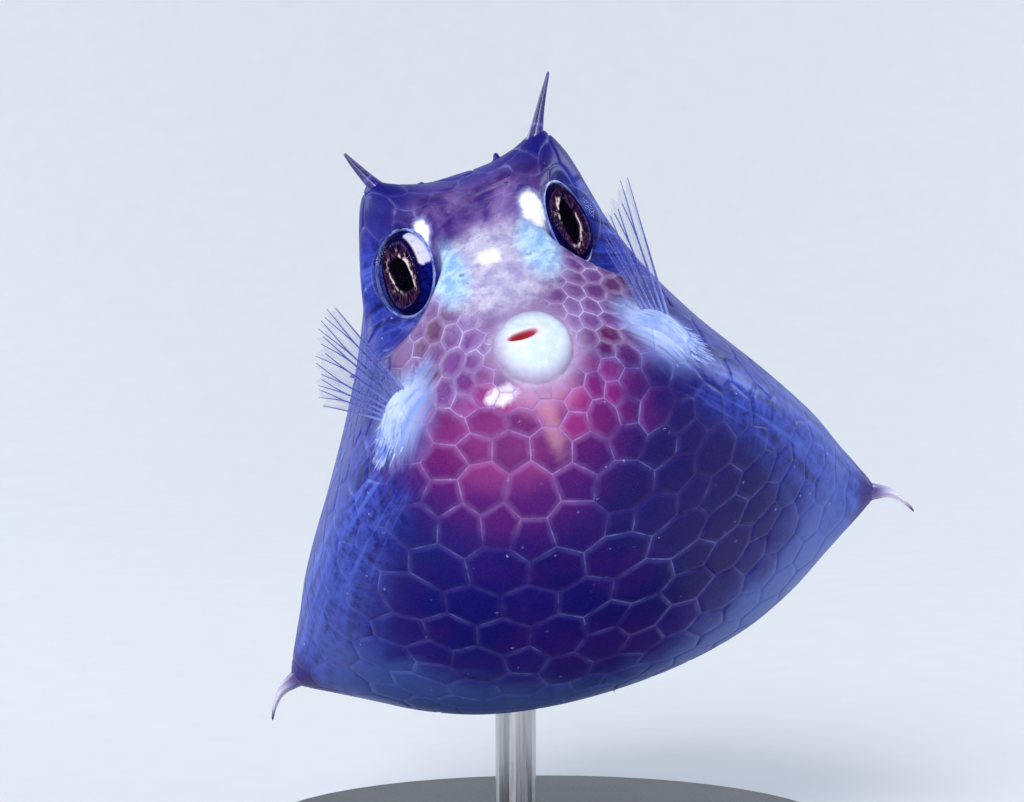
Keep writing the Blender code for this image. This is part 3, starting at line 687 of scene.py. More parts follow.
def raisePlates(heading, seamPoint, atMiddle):     # points, and how far they lie from a seam
    point = shell(heading)
    inward = np.where(atMiddle, 1.5, np.linalg.norm(point - seamPoint, axis=-1))
    bare = np.linalg.norm(point - plate["bare"], axis=-1)
    high = 1 - 0.8 * (1 - smoothstep(*plate["bareReach"], bare))
    high *= 1 - 0.6 * smoothstep(*plate["edgeReach"], np.abs(point[:, 0]))
    lifted = plate["raise"] * high * smoothstep(0, plate["border"], inward)
    return point + shellNormal(heading) * lifted[:, None], inward


def shapeSkin(heading, seamPoint, atMiddle):       # every point, and its marks for the colours
    point, inward = raisePlates(heading, seamPoint, atMiddle)
    for side in (1, -1):
        point = sinkOrbit(point, side)
    poreMask = np.zeros(len(point))
    for side in (1, -1):
        for pore in pores.values():
            point, away = raisePore(point, pore, side)
            if pore["depth"] > 0:
                poreMask = np.maximum(poreMask, 1 - smoothstep(0.5, 1.0, away))
    point, rim, slit = raiseLips(point)
    padRim, padAcross = np.full(len(point), farOff), np.zeros(len(point))
    for side in (1, -1):
        point, near, across = raisePad(point, side)
        padAcross = np.where(near < padRim, across + 5 * side, padAcross)
        padRim = np.minimum(padRim, near)
    point, far = drawTail(point)
    inward += 2 * (1 - smoothstep(0.95, 1.1, rim)) + 2 * (1 - smoothstep(0.8, 1.0, padRim))
    inward += 2 * smoothstep(0.02, 0.2, far)       # no seams on lips, pads and tail
    x, y, z = heading.T
    lift = np.arctan2(z, np.abs(x)) / (math.pi / 2) * smoothstep(0.0, 0.15, np.hypot(x, z))
    along = np.arccos(np.clip(-y, -1, 1)) / math.pi
    return point, np.stack([inward, lift, along, poreMask, padRim, padAcross, rim, slit], -1)


def makeSkinMesh():
    bm = plateNet()
    refine(bm)
    point, marks = shapeSkin(*crowdRows(bm))
    layers = [bm.verts.layers.float[name] for name in skinMarks]
    for vert, place, values in zip(bm.verts, point.tolist(), marks.tolist()):
        vert.co = place
        for layer, value in zip(layers, values):
            vert[layer] = value
    owner = bm.faces.layers.int["plate"]
    shade = bm.faces.layers.float["plateShade"]
    shades = np.random.default_rng(plate["shadeSeed"]).random(len(middles))
    for face in bm.faces:
        face[shade] = shades[face[owner]]
    bmesh.ops.triangulate(bm, faces=bm.faces)
    bmesh.ops.recalc_face_normals(bm, faces=bm.faces)
    toWorld(bm)
    return bm


# The skin's colours. A spot lies at a place on the fish, with its reach and stretch.
skinLook = {
    "tones": {
        "belly": (18, 8, 92), "bellyPlum": (50, 12, 98), "bellyPlate": (14, 18, 116),
        "bellyRightLit": (22, 28, 134), "bellyLeftShaded": (14, 5, 84), "bellyRimGlow": (46, 50, 152),
        "bottomRimLight": (80, 108, 190), "flankDark": (20, 28, 128), "flank": (50, 68, 182),
        "back": (24, 26, 104), "backPale": (52, 48, 138), "streak": (84, 112, 218),
        "streakDark": (8, 8, 74), "ridge": (72, 98, 200), "sideGlow": (60, 92, 196),
        "throatDark": (86, 12, 98), "throatPink": (146, 36, 122), "throatRear": (58, 14, 112),
        "throatCore": (178, 88, 152), "cheekDark": (90, 14, 82), "cheekMauve": (108, 60, 138),
        "cheekHaze": (150, 120, 184), "cheekSpeck": (88, 34, 86), "browDark": (56, 32, 118),
        "browPale": (124, 92, 158), "crown": (50, 42, 142), "snoutMauve": (168, 160, 208),
        "snoutPale": (222, 222, 244), "snoutSpeck": (130, 112, 170),
        "snoutEdge": (152, 132, 192), "nose": (252, 252, 255), "cyan": (138, 188, 238),
        "cyanPale": (196, 230, 252), "silverEdge": (150, 158, 214), "silver": (252, 250, 255),
        "glow": (214, 138, 176), "midline": (226, 168, 186), "glint": (240, 236, 252),
        "padGlow": (120, 142, 224), "hornFoot": (22, 18, 116), "pelvicFoot": (46, 24, 108),
        "spineFoot": (176, 160, 206), "seamViolet": (96, 62, 160), "seamBlue": (128, 138, 220),
        "seamPink": (176, 132, 202), "seamPale": (204, 190, 236), "speck": (200, 206, 246),
        "grain": (90, 100, 224), "grainDark": (14, 8, 70), "pore": (70, 60, 130),
        "pad": (134, 162, 232), "padPale": (202, 220, 252), "padSpot": (246, 248, 255),
        "halo": (194, 178, 220), "lip": (204, 222, 244), "lipPale": (228, 240, 250),
        "lipPink": (236, 196, 206), "slit": (206, 72, 90), "slitDeep": (124, 28, 46),
    },
    "spots": {
        "throat": ((-2.4, -14.3, -5.8), 8.8, (1.2, 0.95, 1.5)),
        "brow": ((0.0, -14.6, 8.6), 6.6),
        "snout": ((0.0, -16.6, 3.2), 6.6, (1.0, 1.0, 1.25)),
        "nose": ((-0.2, -16.3, 4.3), 1.25),
        "silverLeft": ((3.2, -15.2, 7.1), 2.2, (0.62, 1.0, 1.15)),
        "silverRight": ((-3.25, -14.5, 8.4), 1.5, (0.7, 1.0, 1.1)),
        "glow": ((0.2, -16.9, -6.0), 3.0, (1.3, 1.0, 1.0)),
        "midline": ((0.0, -15.2, -7.4), 3.0, (0.36, 1.3, 1.0)),
        "glint": ((-2.1, -16.9, -5.4), 1.4, (1.4, 1.0, 0.8)),
        "padSpot": ((-6.7, -14.2, -3.3), 1.5, (0.9, 1.0, 1.2)),
    },
    "pairs": {                         # on both sides, given for the left one
        "cheek": ((4.7, -15.6, -0.6), 6.0, (1.0, 1.3, 1.15)),
        "cyan": ((2.7, -16.1, 4.0), 3.2, (0.62, 1.0, 1.5)),
        "padGlow": ((7.6, -13.8, -2.8), 4.6),
        "hornRoot": ((5.0, -12.9, 13.8), 3.8, (1.0, 1.4, 1.0)),
        "pelvicRoot": ((18.6, 9.7, -3.6), 4.2),
        "spineFoot": ((19.4, 10.2, -3.7), 1.6),
    },
}


def readSkin(skin):        # the places, marks and noises that the layers share
    place = skin.fishPlace()
    x, y, z = skin.split(place)
    mirror = skin.combine(abs(x), y, z)
    marks = {name: skin.attribute(name) for name in skinMarks + ("plateShade",)}
    on = SimpleNamespace(place=place, x=x, y=y, z=z, **marks)
    for where, spots in ((place, skinLook["spots"]), (mirror, skinLook["pairs"])):
        for name, spot in spots.items():
            setattr(on, name, skin.spot(where, *spot))
    on.soft = skin.noise(place, 0.16, 3, 0.55)
    on.haze = skin.noise(place, 0.5, 4, 0.6, 0.4)
    on.fine = skin.noise(place, 1.6, 4, 0.6)
    on.grain = skin.noise(place, 9.0, 3, 0.6)
    on.streak = skin.noise(skin.combine(on.lift * 40, on.along * 7), 1.0, 3, 0.55, 0.35)
    on.flank = on.lift.ease(-0.56, -0.34) * y.ease(-14.5, -11.0)
    on.flankOnly = on.flank * (1 - on.lift.ease(0.15, 0.4))
    return on              # lift is -1 on the belly, 0 on the mid flank and 1 on the crown


def layBody(skin, on):     # belly, flanks, back and the side ridge, with painted rim light on the lower and side edges and painted light and shade on the belly's two sides
    x, y, z, lift, streak, haze, fine = on.x, on.y, on.z, on.lift, on.streak, on.haze, on.fine
    skin.lay(on.soft.ease(0.4, 0.62), "bellyPlum")
    skin.lay(on.plateShade * 0.45, "bellyPlate")
    # painted light on the belly's right side, painted shade on its left
    skin.lay(x.ease(2.0, -9.0) * 0.3, "bellyRightLit")
    skin.lay(x.ease(0.0, 8.0) * 0.7, "bellyLeftShaded")
    # painted rim light, lighter towards the lower rear edge of the belly
    low = (y + abs(x) * 0.35 + (haze - 0.5) * 5) - z.ease(-6.0, 0.0) * 9
    skin.lay(low.ease(1.0, 8.0) * 0.5, "bellyRimGlow")
    skin.lay(low.ease(4.5, 9.5) * 0.85, "bottomRimLight")
    skin.lay(on.flank, skin.mix(fine.ease(0.3, 0.7), "flankDark", "flank"))
    back = skin.mix(on.soft.ease(0.35, 0.65), "back", "backPale")
    skin.lay(lift.ease(0.3, 0.6) * y.ease(-12.0, -8.0), back)
    skin.lay(streak.ease(0.52, 0.68) * on.flankOnly * 0.65, "streak")
    skin.lay((1 - streak.ease(0.34, 0.46)) * on.flankOnly * 0.8, "streakDark")
    ridge = (1 - abs(lift + 0.37).ease(0.02, 0.16)) * y.ease(-13.0, -9.0)
    skin.lay(ridge * fine.ease(0.3, 0.7) * 0.5, "ridge")
    edge = abs(x).ease(10.0, 16.5) * (1 - z.ease(2.0, 7.0)) * (haze + fine * 0.5)
    skin.lay(edge * streak.ease(0.3, 0.6) * 0.5, "sideGlow")


def layThroat(skin, on):   # magenta under the mouth, pink and mottled on the cheeks
    x, haze, fine = on.x, on.haze, on.fine
    on.throat = on.throat + (haze - 0.5) * 0.34 + (on.plateShade - 0.5) * 0.2
    magenta = skin.mix(on.plateShade, "throatDark", "throatPink")
    magenta = skin.mix(on.y.ease(-15.0, -11.5) * 0.75, magenta, "throatRear")
    skin.lay(on.throat.ease(0.0, 0.62), magenta)
    skin.lay(on.throat.ease(0.6, 1.0) * 0.3, "throatCore")
    pink = skin.mix(on.plateShade.ease(0.1, 0.9), "cheekDark", "cheekMauve")
    inner = 1 - abs(x).ease(2.5, 6.0)
    pink = skin.mix(haze.ease(0.42, 0.68) * (0.25 + inner * 0.45), pink, "cheekHaze")
    mottle = (1 - on.grain.ease(0.36, 0.5)) * fine.ease(0.4, 0.6)
    pink = skin.mix(mottle * 0.5, pink, "cheekSpeck")
    cheek = (on.cheek + (haze - 0.5) * 0.3).ease(0.05, 0.55) * (1 - abs(x).ease(6.2, 8.2) * 0.85)
    skin.lay(cheek * (1 - x.ease(-6.3, -7.2) * 0.9) * 0.92, pink)


def laySnout(skin, on):    # pale tissue that shines through between mouth, eyes and brow, with painted highlights on the nose, beside the eyes and under the mouth and a painted glow below the lips
    haze, fine = on.haze, on.fine
    skin.lay(on.brow.ease(0.1, 0.7), skin.mix(haze.ease(0.35, 0.65), "browDark", "browPale"))
    crown = (on.z + haze * 2).ease(11.2, 13.6) * (1 - on.y.ease(-10.0, -2.0))
    skin.lay(crown * 0.85, "crown")
    on.snout = on.snout + (haze - 0.5) * 0.5 + (fine - 0.5) * 0.15
    pale = skin.mix((fine * 0.5 + haze * 0.5).ease(0.34, 0.62), "snoutMauve", "snoutPale")
    mottle = (1 - on.grain.ease(0.3, 0.5)) * haze.ease(0.4, 0.6)
    pale = skin.mix(mottle * 0.4, pale, "snoutSpeck")
    skin.lay(on.snout.ease(0.15, 0.6) * 0.42, "snoutEdge")
    skin.lay(on.snout.ease(0.35, 0.8) * 0.92, pale)
    # a painted highlight on the nose
    skin.lay((on.nose + (fine - 0.5) * 0.8).ease(0.15, 0.7), "nose")
    cyan = (on.cyan + (fine - 0.5) * 0.3).ease(0.05, 0.75)
    skin.lay(cyan * 0.9, skin.mix(fine.ease(0.35, 0.65), "cyan", "cyanPale"))
    # painted highlights beside the eyes, in silver white
    on.silver = on.silverLeft.most(on.silverRight) + (fine - 0.5) * 0.6
    skin.lay(on.silver.ease(0.1, 0.4) * 0.6, "silverEdge")
    skin.lay(on.silver.ease(0.34, 0.66), "silver")
    # a painted glow below the lips and along the throat's midline
    skin.lay((on.glow + (haze - 0.5) * 0.5).ease(0.2, 1.0) * 0.5, "glow")
    skin.lay((on.midline + (fine - 0.5) * 0.6).ease(0.1, 1.1) * 0.45, "midline")
    skin.lay((on.glint + (fine - 0.5) * 0.9).ease(0.3, 0.8), "glint")


def layRoots(skin, on):    # where the pads, horns and pelvic spines grow out
    skin.lay(on.padGlow.ease(0.1, 0.7) * on.haze.ease(0.2, 0.6) * 0.6, "padGlow")
    skin.lay(on.hornRoot.ease(0.05, 0.5) * 0.92, "hornFoot")
    skin.lay((on.pelvicRoot + (on.haze - 0.5) * 0.4).ease(0.15, 0.6) * 0.85, "pelvicFoot")
    skin.lay((on.spineFoot + (on.fine - 0.5) * 0.5).ease(0.2, 0.8) * 0.7, "spineFoot")


def laySeams(skin, on):    # thin, pale and uneven borders, then painted sparkle specks and grain
    inward = on.seam + (on.fine - 0.5) * 0.12 + (on.grain - 0.5) * 0.05
    face = on.cheek.ease(0.05, 0.3).most(on.throat.ease(0.1, 0.5))
    faint = 1 - on.flank * 0.65 * (1 - on.padGlow)
    faint = faint * (1 - on.snout.ease(0.2, 0.6) * 0.85) * (1 - on.silver.ease(0.2, 0.5) * 0.9)
    faint = faint * (1 - on.x.ease(3.0, 13.0) * 0.45 * (1 - face))
    strong = skin.noise(on.place, 0.5, 3, 0.6).ease(0.4, 0.62) * (0.5 + face * 0.3) + 0.1
    seam = skin.mix(on.haze.ease(0.35, 0.65), "seamViolet", "seamBlue")
    seam = skin.mix(on.throat.ease(0.1, 0.6), seam, "seamPink")
    seam = skin.mix(on.cheek.ease(0.2, 0.6), seam, "seamPale")
    skin.lay((1 - inward.ease(0.05, 0.45)) * (0.1 + face * 0.12) * faint, seam)
    skin.lay((1 - inward.ease(0.01, 0.065)) * strong * faint, seam)
    # tiny painted sparkles
    cell = skin.add("ShaderNodeTexVoronoi", {"feature": "F1"},
                    {"Vector": on.place, "Scale": 0.8, "Randomness": 1.0})
    skin.lay((1 - cell.ease(0.05, 0.11)) * on.grain.ease(0.5, 0.62) * 0.7, "speck")
    skin.lay(on.grain.ease(0.45, 0.7) * 0.07, "grain")
    skin.lay((1 - on.grain.ease(0.3, 0.42)) * 0.3, "grainDark")
    skin.lay(on.pore.ease(0.4, 1.0) * 0.3, "pore")


def layPads(skin, on):     # combed, pale flesh under the pectoral fins, with a painted highlight on the right one; gives back its relief
    comb = skin.noise(skin.combine(on.padAcross * 3.2, on.padRim * 1.1), 1.0, 3, 0.6, 0.3)
    flesh = 1 - (on.padRim + (comb - 0.5) * 1.1 + (on.haze - 0.5) * 0.6).ease(0.55, 1.3)
    pale = (comb * 0.6 + on.haze * 0.4).ease(0.38, 0.62)
    skin.lay(flesh * 0.95, skin.mix(pale, "pad", "padPale"))
    # a painted highlight on the right pad
    skin.lay((on.padSpot + (on.fine - 0.5) * 0.4).ease(0.2, 0.9) * 0.85, "padSpot")
    return comb * flesh


def layLips(skin, on):     # a haze round the lips, and the slit between them
    haze, fine, rim, slit = on.haze, on.fine, on.rim, on.slit
    skin.lay((1 - (rim + (haze - 0.5)).ease(0.8, 1.7)) * 0.6, "halo")
    lips = 1 - (rim + (fine - 0.5) * 0.3 + (haze - 0.5) * 0.3).ease(0.6, 1.12)
    skin.lay(lips, skin.mix(fine.ease(0.35, 0.7), "lip", "lipPale"))
    skin.lay((1 - slit.ease(0.9, 2.0)) * 0.35, "lipPink")
    skin.lay(1 - slit.ease(0.75, 1.15), "slit")
    skin.lay(1 - slit.ease(0.1, 0.55), "slitDeep")


def makeSkin():
    skin = Finish("cowfishSkin", skinLook["tones"], "belly", 0.34, Subsurface_Weight=0.1,
                  Subsurface_Radius=(1.0, 0.5, 0.8), Subsurface_Scale=0.0005,
                  Specular_IOR_Level=0.1, Coat_Weight=0.05, Coat_Roughness=0.12,
                  Sheen_Weight=0.02, Sheen_Roughness=0.35, Sheen_Tint=(0.25, 0.45, 1.0, 1.0))
    on = readSkin(skin)
    layBody(skin, on)
    layThroat(skin, on)
    laySnout(skin, on)
    layRoots(skin, on)
    laySeams(skin, on)
    combed = layPads(skin, on)
    layLips(skin, on)
    height = on.grain * 0.4 + on.fine * 0.5 + on.streak * on.flankOnly * 0.8 + combed
    return skin.feed(Roughness=0.28 + on.grain * 0.2, Normal=skin.bump(height, 0.45, 0.00008))


skinPiece = finishPiece("cowfish_skin", makeSkinMesh(), makeSkin(),
                        ("head", "carapace", "lips", "tail_peduncle"), 0)
print("skin made:", len(skinPiece.data.polygons), "triangles")


def revolve(profile, steps):   # closed solid turned from (radius, height) pairs
    bm = bmesh.new()
    verts = [bm.verts.new((r, 0, z)) for r, z in profile]
    edges = [bm.edges.new(pair) for pair in zip(verts, verts[1:])]
    bmesh.ops.spin(bm, geom=verts + edges, cent=(0, 0, 0), axis=(0, 0, 1),
                   angle=2 * math.pi, steps=steps, use_merge=True)
    bmesh.ops.remove_doubles(bm, verts=bm.verts, dist=1e-5)
    bmesh.ops.recalc_face_normals(bm, faces=bm.faces)
    return bm


def sweep(points, radii, segments):    # tapered tube, closed at both ends
    bm = bmesh.new()
    layer = bm.verts.layers.float.new("length")
    points = [Vector(p) for p in points]
    for i, (point, radius) in enumerate(zip(points, radii)):
        axis = (points[min(i + 1, len(points) - 1)] - points[max(i - 1, 0)]).normalized()
        up = (0, 1, 0) if abs(axis.y) < 0.9 else (0, 0, 1)
        place = frameOn(point, axis, up) @ Matrix.Diagonal((radius, radius, 1, 1))
        if i == 0:
            ring = bmesh.ops.create_circle(bm, cap_ends=True, segments=segments, radius=1,
                                           matrix=place)["verts"]
            edges = bm.edges[:]
        else:
            made = bmesh.ops.extrude_edge_only(bm, edges=edges)["geom"]
            ring = [v for v in made if isinstance(v, bmesh.types.BMVert)]
            edges = [e for e in made if isinstance(e, bmesh.types.BMEdge)]
            bmesh.ops.transform(bm, matrix=place @ before, verts=ring)
        before = place.inverted()
        for vert in ring:
            vert[layer] = i / (len(points) - 1)
    bmesh.ops.holes_fill(bm, edges=edges, sides=0)
    bmesh.ops.recalc_face_normals(bm, faces=bm.faces)
    return bm


def join(bm, other):
    mesh = bpy.data.meshes.new("joined")
    other.to_mesh(mesh)
    other.free()
    bm.from_mesh(mesh)
    bpy.data.meshes.remove(mesh)


# Spikes: fluted, with a darker core and a pale edge towards the tip.
spikeLook = {
    "sink": 1.5,                       # how deep the root sits in the shell
    "lift": 0.3,
    "rows": 24,
    "segments": 42,
    "taper": 1.05,
    "blunt": 0.97,                     # the last rows are drawn in
    "flutes": 6,
    "fluteDepth": 0.05,
    "foot": 0.2,
    "footHigh": 0.45,
    "tones": {"flute": (120, 110, 190), "grain": (150, 140, 205), "ring": (120, 110, 200)},
    "hornTones": {"core": (24, 18, 112), "pale": (26, 12, 84), "tip": (72, 56, 136)},
    "pelvicTones": {"core": (70, 48, 128), "pale": (236, 230, 248), "tip": (44, 30, 92)},
}


def makeSpikeMaterial(name, tones):
    skin = Finish(name, {**spikeLook["tones"], **tones}, "core", 0.3,
                  Subsurface_Weight=0.15, Subsurface_Radius=(0.8, 0.6, 1.0),
                  Subsurface_Scale=0.0004, Coat_Weight=0.4, Coat_Roughness=0.15,
                  Sheen_Weight=0.5, Sheen_Roughness=0.35, Sheen_Tint=(0.6, 0.65, 1.0, 1.0))
    length = skin.attribute("length")
    flute = skin.attribute("flute")
    grain = skin.noise(skin.fishPlace(), 6.0, 3, 0.6)
    skin.lay(length.ease(0.15, 0.7), "pale")
    skin.lay(length.ease(0.8, 0.99), "tip")
    skin.lay(flute.ease(0.4, 1.0) * 0.35, "flute")
    skin.lay(grain.ease(0.45, 0.7) * 0.25, "grain")
    ring = length.ease(0.3, 0.33) * (1 - length.ease(0.34, 0.37))
    skin.lay(ring * 0.5, "ring")
    return skin.feed(Roughness=0.24 + grain * 0.25,
                     Normal=skin.bump(grain + flute, 0.4, 0.00006))


def spikeProfile(spike):
    sink = spikeLook["sink"]
    profile = [(0.0, -sink)]
    for i in range(spikeLook["rows"] + 1):
        t = i / spikeLook["rows"]
        height = -sink + (spike["length"] + sink) * t
        radius = spike["tip"] + (spike["radius"] - spike["tip"]) * (1 - t) ** spikeLook["taper"]
        radius += spikeLook["foot"] * math.exp(-(height + sink) / spikeLook["footHigh"])
        if t > spikeLook["blunt"]:
            radius *= 0.75
        profile.append((radius, height))
    return profile + [(0.0, spike["length"] + spike["tip"] * 0.3)]


def makeSpike(spike, side, name, material):
    axis = unit(onSide(spike["axis"], side or 1))
    bend = onSide(spike["bend"], side or 1) + spike.get("own", {}).get(side, (0, 0, 0))
    start = onSide(spike["root"], side or 1) + axis * (spike["flare"] + spikeLook["lift"])
    place = frameOn(start, axis)
    sink = spikeLook["sink"]
    bm = revolve(spikeProfile(spike), spikeLook["segments"])
    lengthLayer = bm.verts.layers.float.new("length")
    fluteLayer = bm.verts.layers.float.new("flute")
    for vert in bm.verts:
        t = max(vert.co.z, 0) / spike["length"]
        angle = math.atan2(vert.co.y, vert.co.x)
        flute = math.cos(angle * spikeLook["flutes"]) * (1 - smoothstep(0.75, 1, t))
        flute *= smoothstep(-sink, 0, vert.co.z)
        scale = 1 + spikeLook["fluteDepth"] * flute
        vert[lengthLayer] = (vert.co.z + sink) / (spike["length"] + sink)
        vert[fluteLayer] = flute * 0.5 + 0.5
        local = Vector((vert.co.x * scale, vert.co.y * scale, vert.co.z))
        vert.co = (place @ local) + Vector(bend * t * t)
    toWorld(bm)
    finishPiece(name + "_skin", bm, material, (name,))


hornMaterial = makeSpikeMaterial("hornSkin", spikeLook["hornTones"])
pelvicMaterial = makeSpikeMaterial("pelvicSkin", spikeLook["pelvicTones"])
for spike, side, name in spikes():
    if spike is pelvic:
        makeSpike(spike, side, name, pelvicMaterial)
    else:
        makeSpike(spike, side, name, hornMaterial)
print("spikes made")


# Eyes: a ball with a flat iris and a sunk pupil, under a clear dome, in a ring of skin.
def pointedOval(angle, wide, tall):    # its radius in one direction, from the upper point
    side = abs(math.sin(angle))
    bend = wide * max(math.cos(angle) ** 2, 1e-6) / tall ** 2
    return (math.sqrt(side ** 2 + 4 * wide * bend) - side) / (2 * bend)


def makeEyeMaterial():
    ball = Finish("eyeBall", eye["tones"], "irisDark", 0.3, Specular_IOR_Level=0.0)
    tone, around, across, up = (ball.attribute(n) for n in ("tone", "around", "across", "up"))
    fine = ball.noise(ball.fishPlace(), 2.4, 4, 0.65)
    streak = ball.noise(ball.combine(around * 9, tone * 1.2), 1.0, 3, 0.6)
    band = ball.noise(ball.combine(around * 1.3, 3.0), 1.0, 2, 0.5)
    wide, tall = eye["iris"]
    outer = abs(across) / (wide * (1 - (up / tall) * (up / tall)).most(0.04))
    outer = outer + (fine - 0.5) * 0.16        # 1 at the iris's pointed edge
    ball.lay(fine.ease(0.4, 0.66), "irisBrown")
    ball.lay(streak.ease(0.52, 0.7) * 0.45, "irisStreak")
    # a pale ring at the pupil's edge and flecks beside it: partly the iris's own gold and partly
    # painted glints, kept to the upper-front and lower-back sides
    glintSide = abs(up * 0.5 - across) * 0.42 + (band - 0.5) * 0.9 + (fine - 0.5) * 1.2
    edge = 1 - abs(tone - 1.06 - band.ease(0.4, 0.7) * 0.2).ease(0.02, 0.24)
    ball.lay(edge * glintSide.ease(0.3, 0.5), "pupilRimGlint")
    flecks = fine.ease(0.56, 0.64) * (1 - tone.ease(1.3, 1.75)) * tone.ease(0.9, 1.0)
    ball.lay(flecks * glintSide.ease(0.2, 0.5) * 0.85, "fleck")
    thread = 1 - abs(outer - 1).ease(0.0, 0.09)
    ball.lay(outer.ease(0.86, 1.04) * 0.92, "irisEdge")
    ball.lay(thread * streak.ease(0.35, 0.6) * 0.5, "irisThread")
    side = ball.mix(fine.ease(0.35, 0.65), "ballDark", "ballBlue")
    # a painted silver reflection on the ball's upper inner side
    silver = (ball.attribute("silver") + (fine - 0.5) * 0.5).ease(0.3, 0.5)
    side = ball.mix(silver, side, "silver")
    side = ball.mix(silver * streak.ease(0.55, 0.75) * 0.5, side, "silverStreak")
    ball.lay(tone.ease(2.05, 2.35), side)
    ball.lay(1 - tone.ease(0.5, 0.85), "pupil")
    return ball.feed(Roughness=0.22 + fine * 0.2, Normal=ball.bump(streak + fine, 0.5, 0.00006))


def makeCorneaMaterial():
    clear = Finish("eyeClear", eye["tones"], "glass", 0.03, Coat_Weight=1.0)
    haze = clear.noise(clear.fishPlace(), 0.9, 2, 0.5)
    through = clear.add("ShaderNodeBsdfTransparent", {}, {"Color": (0.9, 0.91, 1.0, 1)})
    edge = clear.add("ShaderNodeFresnel", {}, {"IOR": 1.42})
    body = Value(clear, clear.shader.outputs[0])
    mixed = clear.add("ShaderNodeMixShader", {}, {0: edge * 0.4 + haze * 0.015, 1: through,
                                                  2: body})
    clear.tree.links.new(mixed.out, clear.tree.nodes["Material Output"].inputs[0])
    return clear.material


def makeLidMaterial():
    lid = Finish("lidSkin", eye["tones"], "lidDark", 0.3, Subsurface_Weight=0.2,
                 Subsurface_Scale=0.0005, Sheen_Weight=0.5, Coat_Weight=0.4)
    place = lid.fishPlace()
    grain = lid.noise(place, 8.0, 2, 0.6)
    lid.lay(lid.noise(place, 2.2, 3, 0.6).ease(0.35, 0.62), "lidPale")
    return lid.feed(Roughness=0.25 + grain * 0.2, Normal=lid.bump(grain, 0.4, 0.00005))


def ballProfile():         # radius, height and tone from the pupil to the ball's back
    radius = eye["ballRadius"]
    profile = list(eye["profile"])
    first = math.asin(profile[-1][1] / radius) - 0.06
    for i in range(eye["ballRows"] + 1):
        angle = first - (first + math.pi / 2) * i / eye["ballRows"]
        profile.append((max(radius * math.cos(angle), 0.0), radius * math.sin(angle), 3.0))
    profile[-1] = (0.0, -radius, 3.0)
    return profile


def makeBall(side, word, sight):
    profile = ballProfile()
    bm = revolve([(r, h) for r, h, _ in profile], 96)
    names = ("tone", "around", "silver", "across", "up")
    for name in names:
        bm.verts.layers.float.new(name)
    layers = [bm.verts.layers.float[name] for name in names]
    shine = unit(eye["shine"][side])
    lean = eye["lean"][side]
    outward = sight.to_3x3()
    for vert in bm.verts:
        x, y, z = vert.co
        radial = math.hypot(x, y)
        angle = math.atan2(y, x)
        tone = min(profile, key=lambda p: abs(p[0] - radial) + abs(p[1] - z))[2]
        pull = pointedOval(angle - lean, *eye["pupil"]) / eye["pupilRound"] - 1
        pull *= smoothstep(0.2, 1.0, radial) * (1 - smoothstep(1.3, 2.3, radial))
        if tone < 2.2:                 # the iris follows the pupil's pointed oval
            vert.co.x *= 1 + pull
            vert.co.y *= 1 + pull
        radial = math.hypot(vert.co.x, vert.co.y)
        away = (np.array(outward @ vert.co.normalized()) - shine) * (1.3, 1.0, 0.9)
        values = (tone, math.cos(angle * 2) + angle * 0.3,
                  1 - smoothstep(0.15, 0.75, np.linalg.norm(away)),
                  radial * math.sin(lean - angle), radial * math.cos(lean - angle))
        for layer, value in zip(layers, values):
            vert[layer] = value
    bmesh.ops.transform(bm, matrix=sight, verts=bm.verts)
    toWorld(bm)
    finishPiece("eye_ball_" + word, bm, eyeMaterial, ("eye_" + word,))


def makeDome(word, sight):
    bm = bmesh.new()
    bmesh.ops.create_uvsphere(bm, u_segments=72, v_segments=48, radius=eye["radius"] - 0.02,
                              matrix=sight)
    toWorld(bm)
    finishPiece("eye_dome_" + word, bm, corneaMaterial, ("eye_" + word,))


def makeLid(word, orbit):
    bm = bmesh.new()
    ringPlace = (Matrix.Translation((eye["ring"], 0, eye["orbitHeight"]))
                 @ Matrix.Rotation(math.pi / 2, 4, "X"))
    bmesh.ops.create_circle(bm, segments=16, radius=eye["ringThick"], matrix=ringPlace)
    bmesh.ops.spin(bm, geom=bm.verts[:] + bm.edges[:], cent=(0, 0, 0), axis=(0, 0, 1),
                   angle=2 * math.pi, steps=96, use_merge=True)
    bmesh.ops.recalc_face_normals(bm, faces=bm.faces)
    bmesh.ops.transform(bm, matrix=orbit, verts=bm.verts)
    toWorld(bm)
    finishPiece("eye_lid_" + word, bm, lidMaterial)


eyeMaterial = makeEyeMaterial()
corneaMaterial = makeCorneaMaterial()
lidMaterial = makeLidMaterial()
for side, word in sides:
    centre = onSide(eye["centre"], side)
    sight = frameOn(centre, onSide(eye["sight"][side], side))
    makeBall(side, word, sight)
    makeDome(word, sight)
    makeLid(word, frameOn(centre, orbitAxis(side)))
print("eyes made")


# Fins: webs carried by branched rays. Each has its first and last heading and three lengths.
fanLeft = {"root": 0.75, "first": (-0.22, -0.38, 0.88), "last": (0.05, -0.27, 0.96),
           "lengths": (5.4, 7.8, 9.6), "bend": (0.0, -0.3, 0.0), "rays": 6}
fanRight = {"root": 1.15, "first": (-0.30, -0.10, 0.94), "last": (-0.55, 0.40, 0.72),
            "lengths": (8.4, 7.6, 5.6), "bend": (-0.2, 0.3, 0.0), "rays": 9}
dorsal = {"place": (0, 13, 11.5), "first": (0, 0.35, 0.94), "last": (0, 0.96, 0.28),
          "lengths": (4.6, 5.0, 3.4), "bend": (0.0, 0.5, -0.1), "rays": 9}
anal = {"place": (0, 17.3, -4), "first": (0, 0.9, -0.38), "last": (0, 0.99, 0.1),
        "lengths": (3.6, 3.9, 2.8), "bend": (0.0, 0.2, 0.3), "rays": 9}
keel = {"half": 1.4, "depth": 0.4, "margin": 0.1}
tailFan = {"middle": (0.0, 22.4, 3.4), "run": (0.0, 2.0, 0.8), "sink": 0.5, "past": 0.8,
           "bend": (0.4, 0.0, 0.0), "rays": 10}
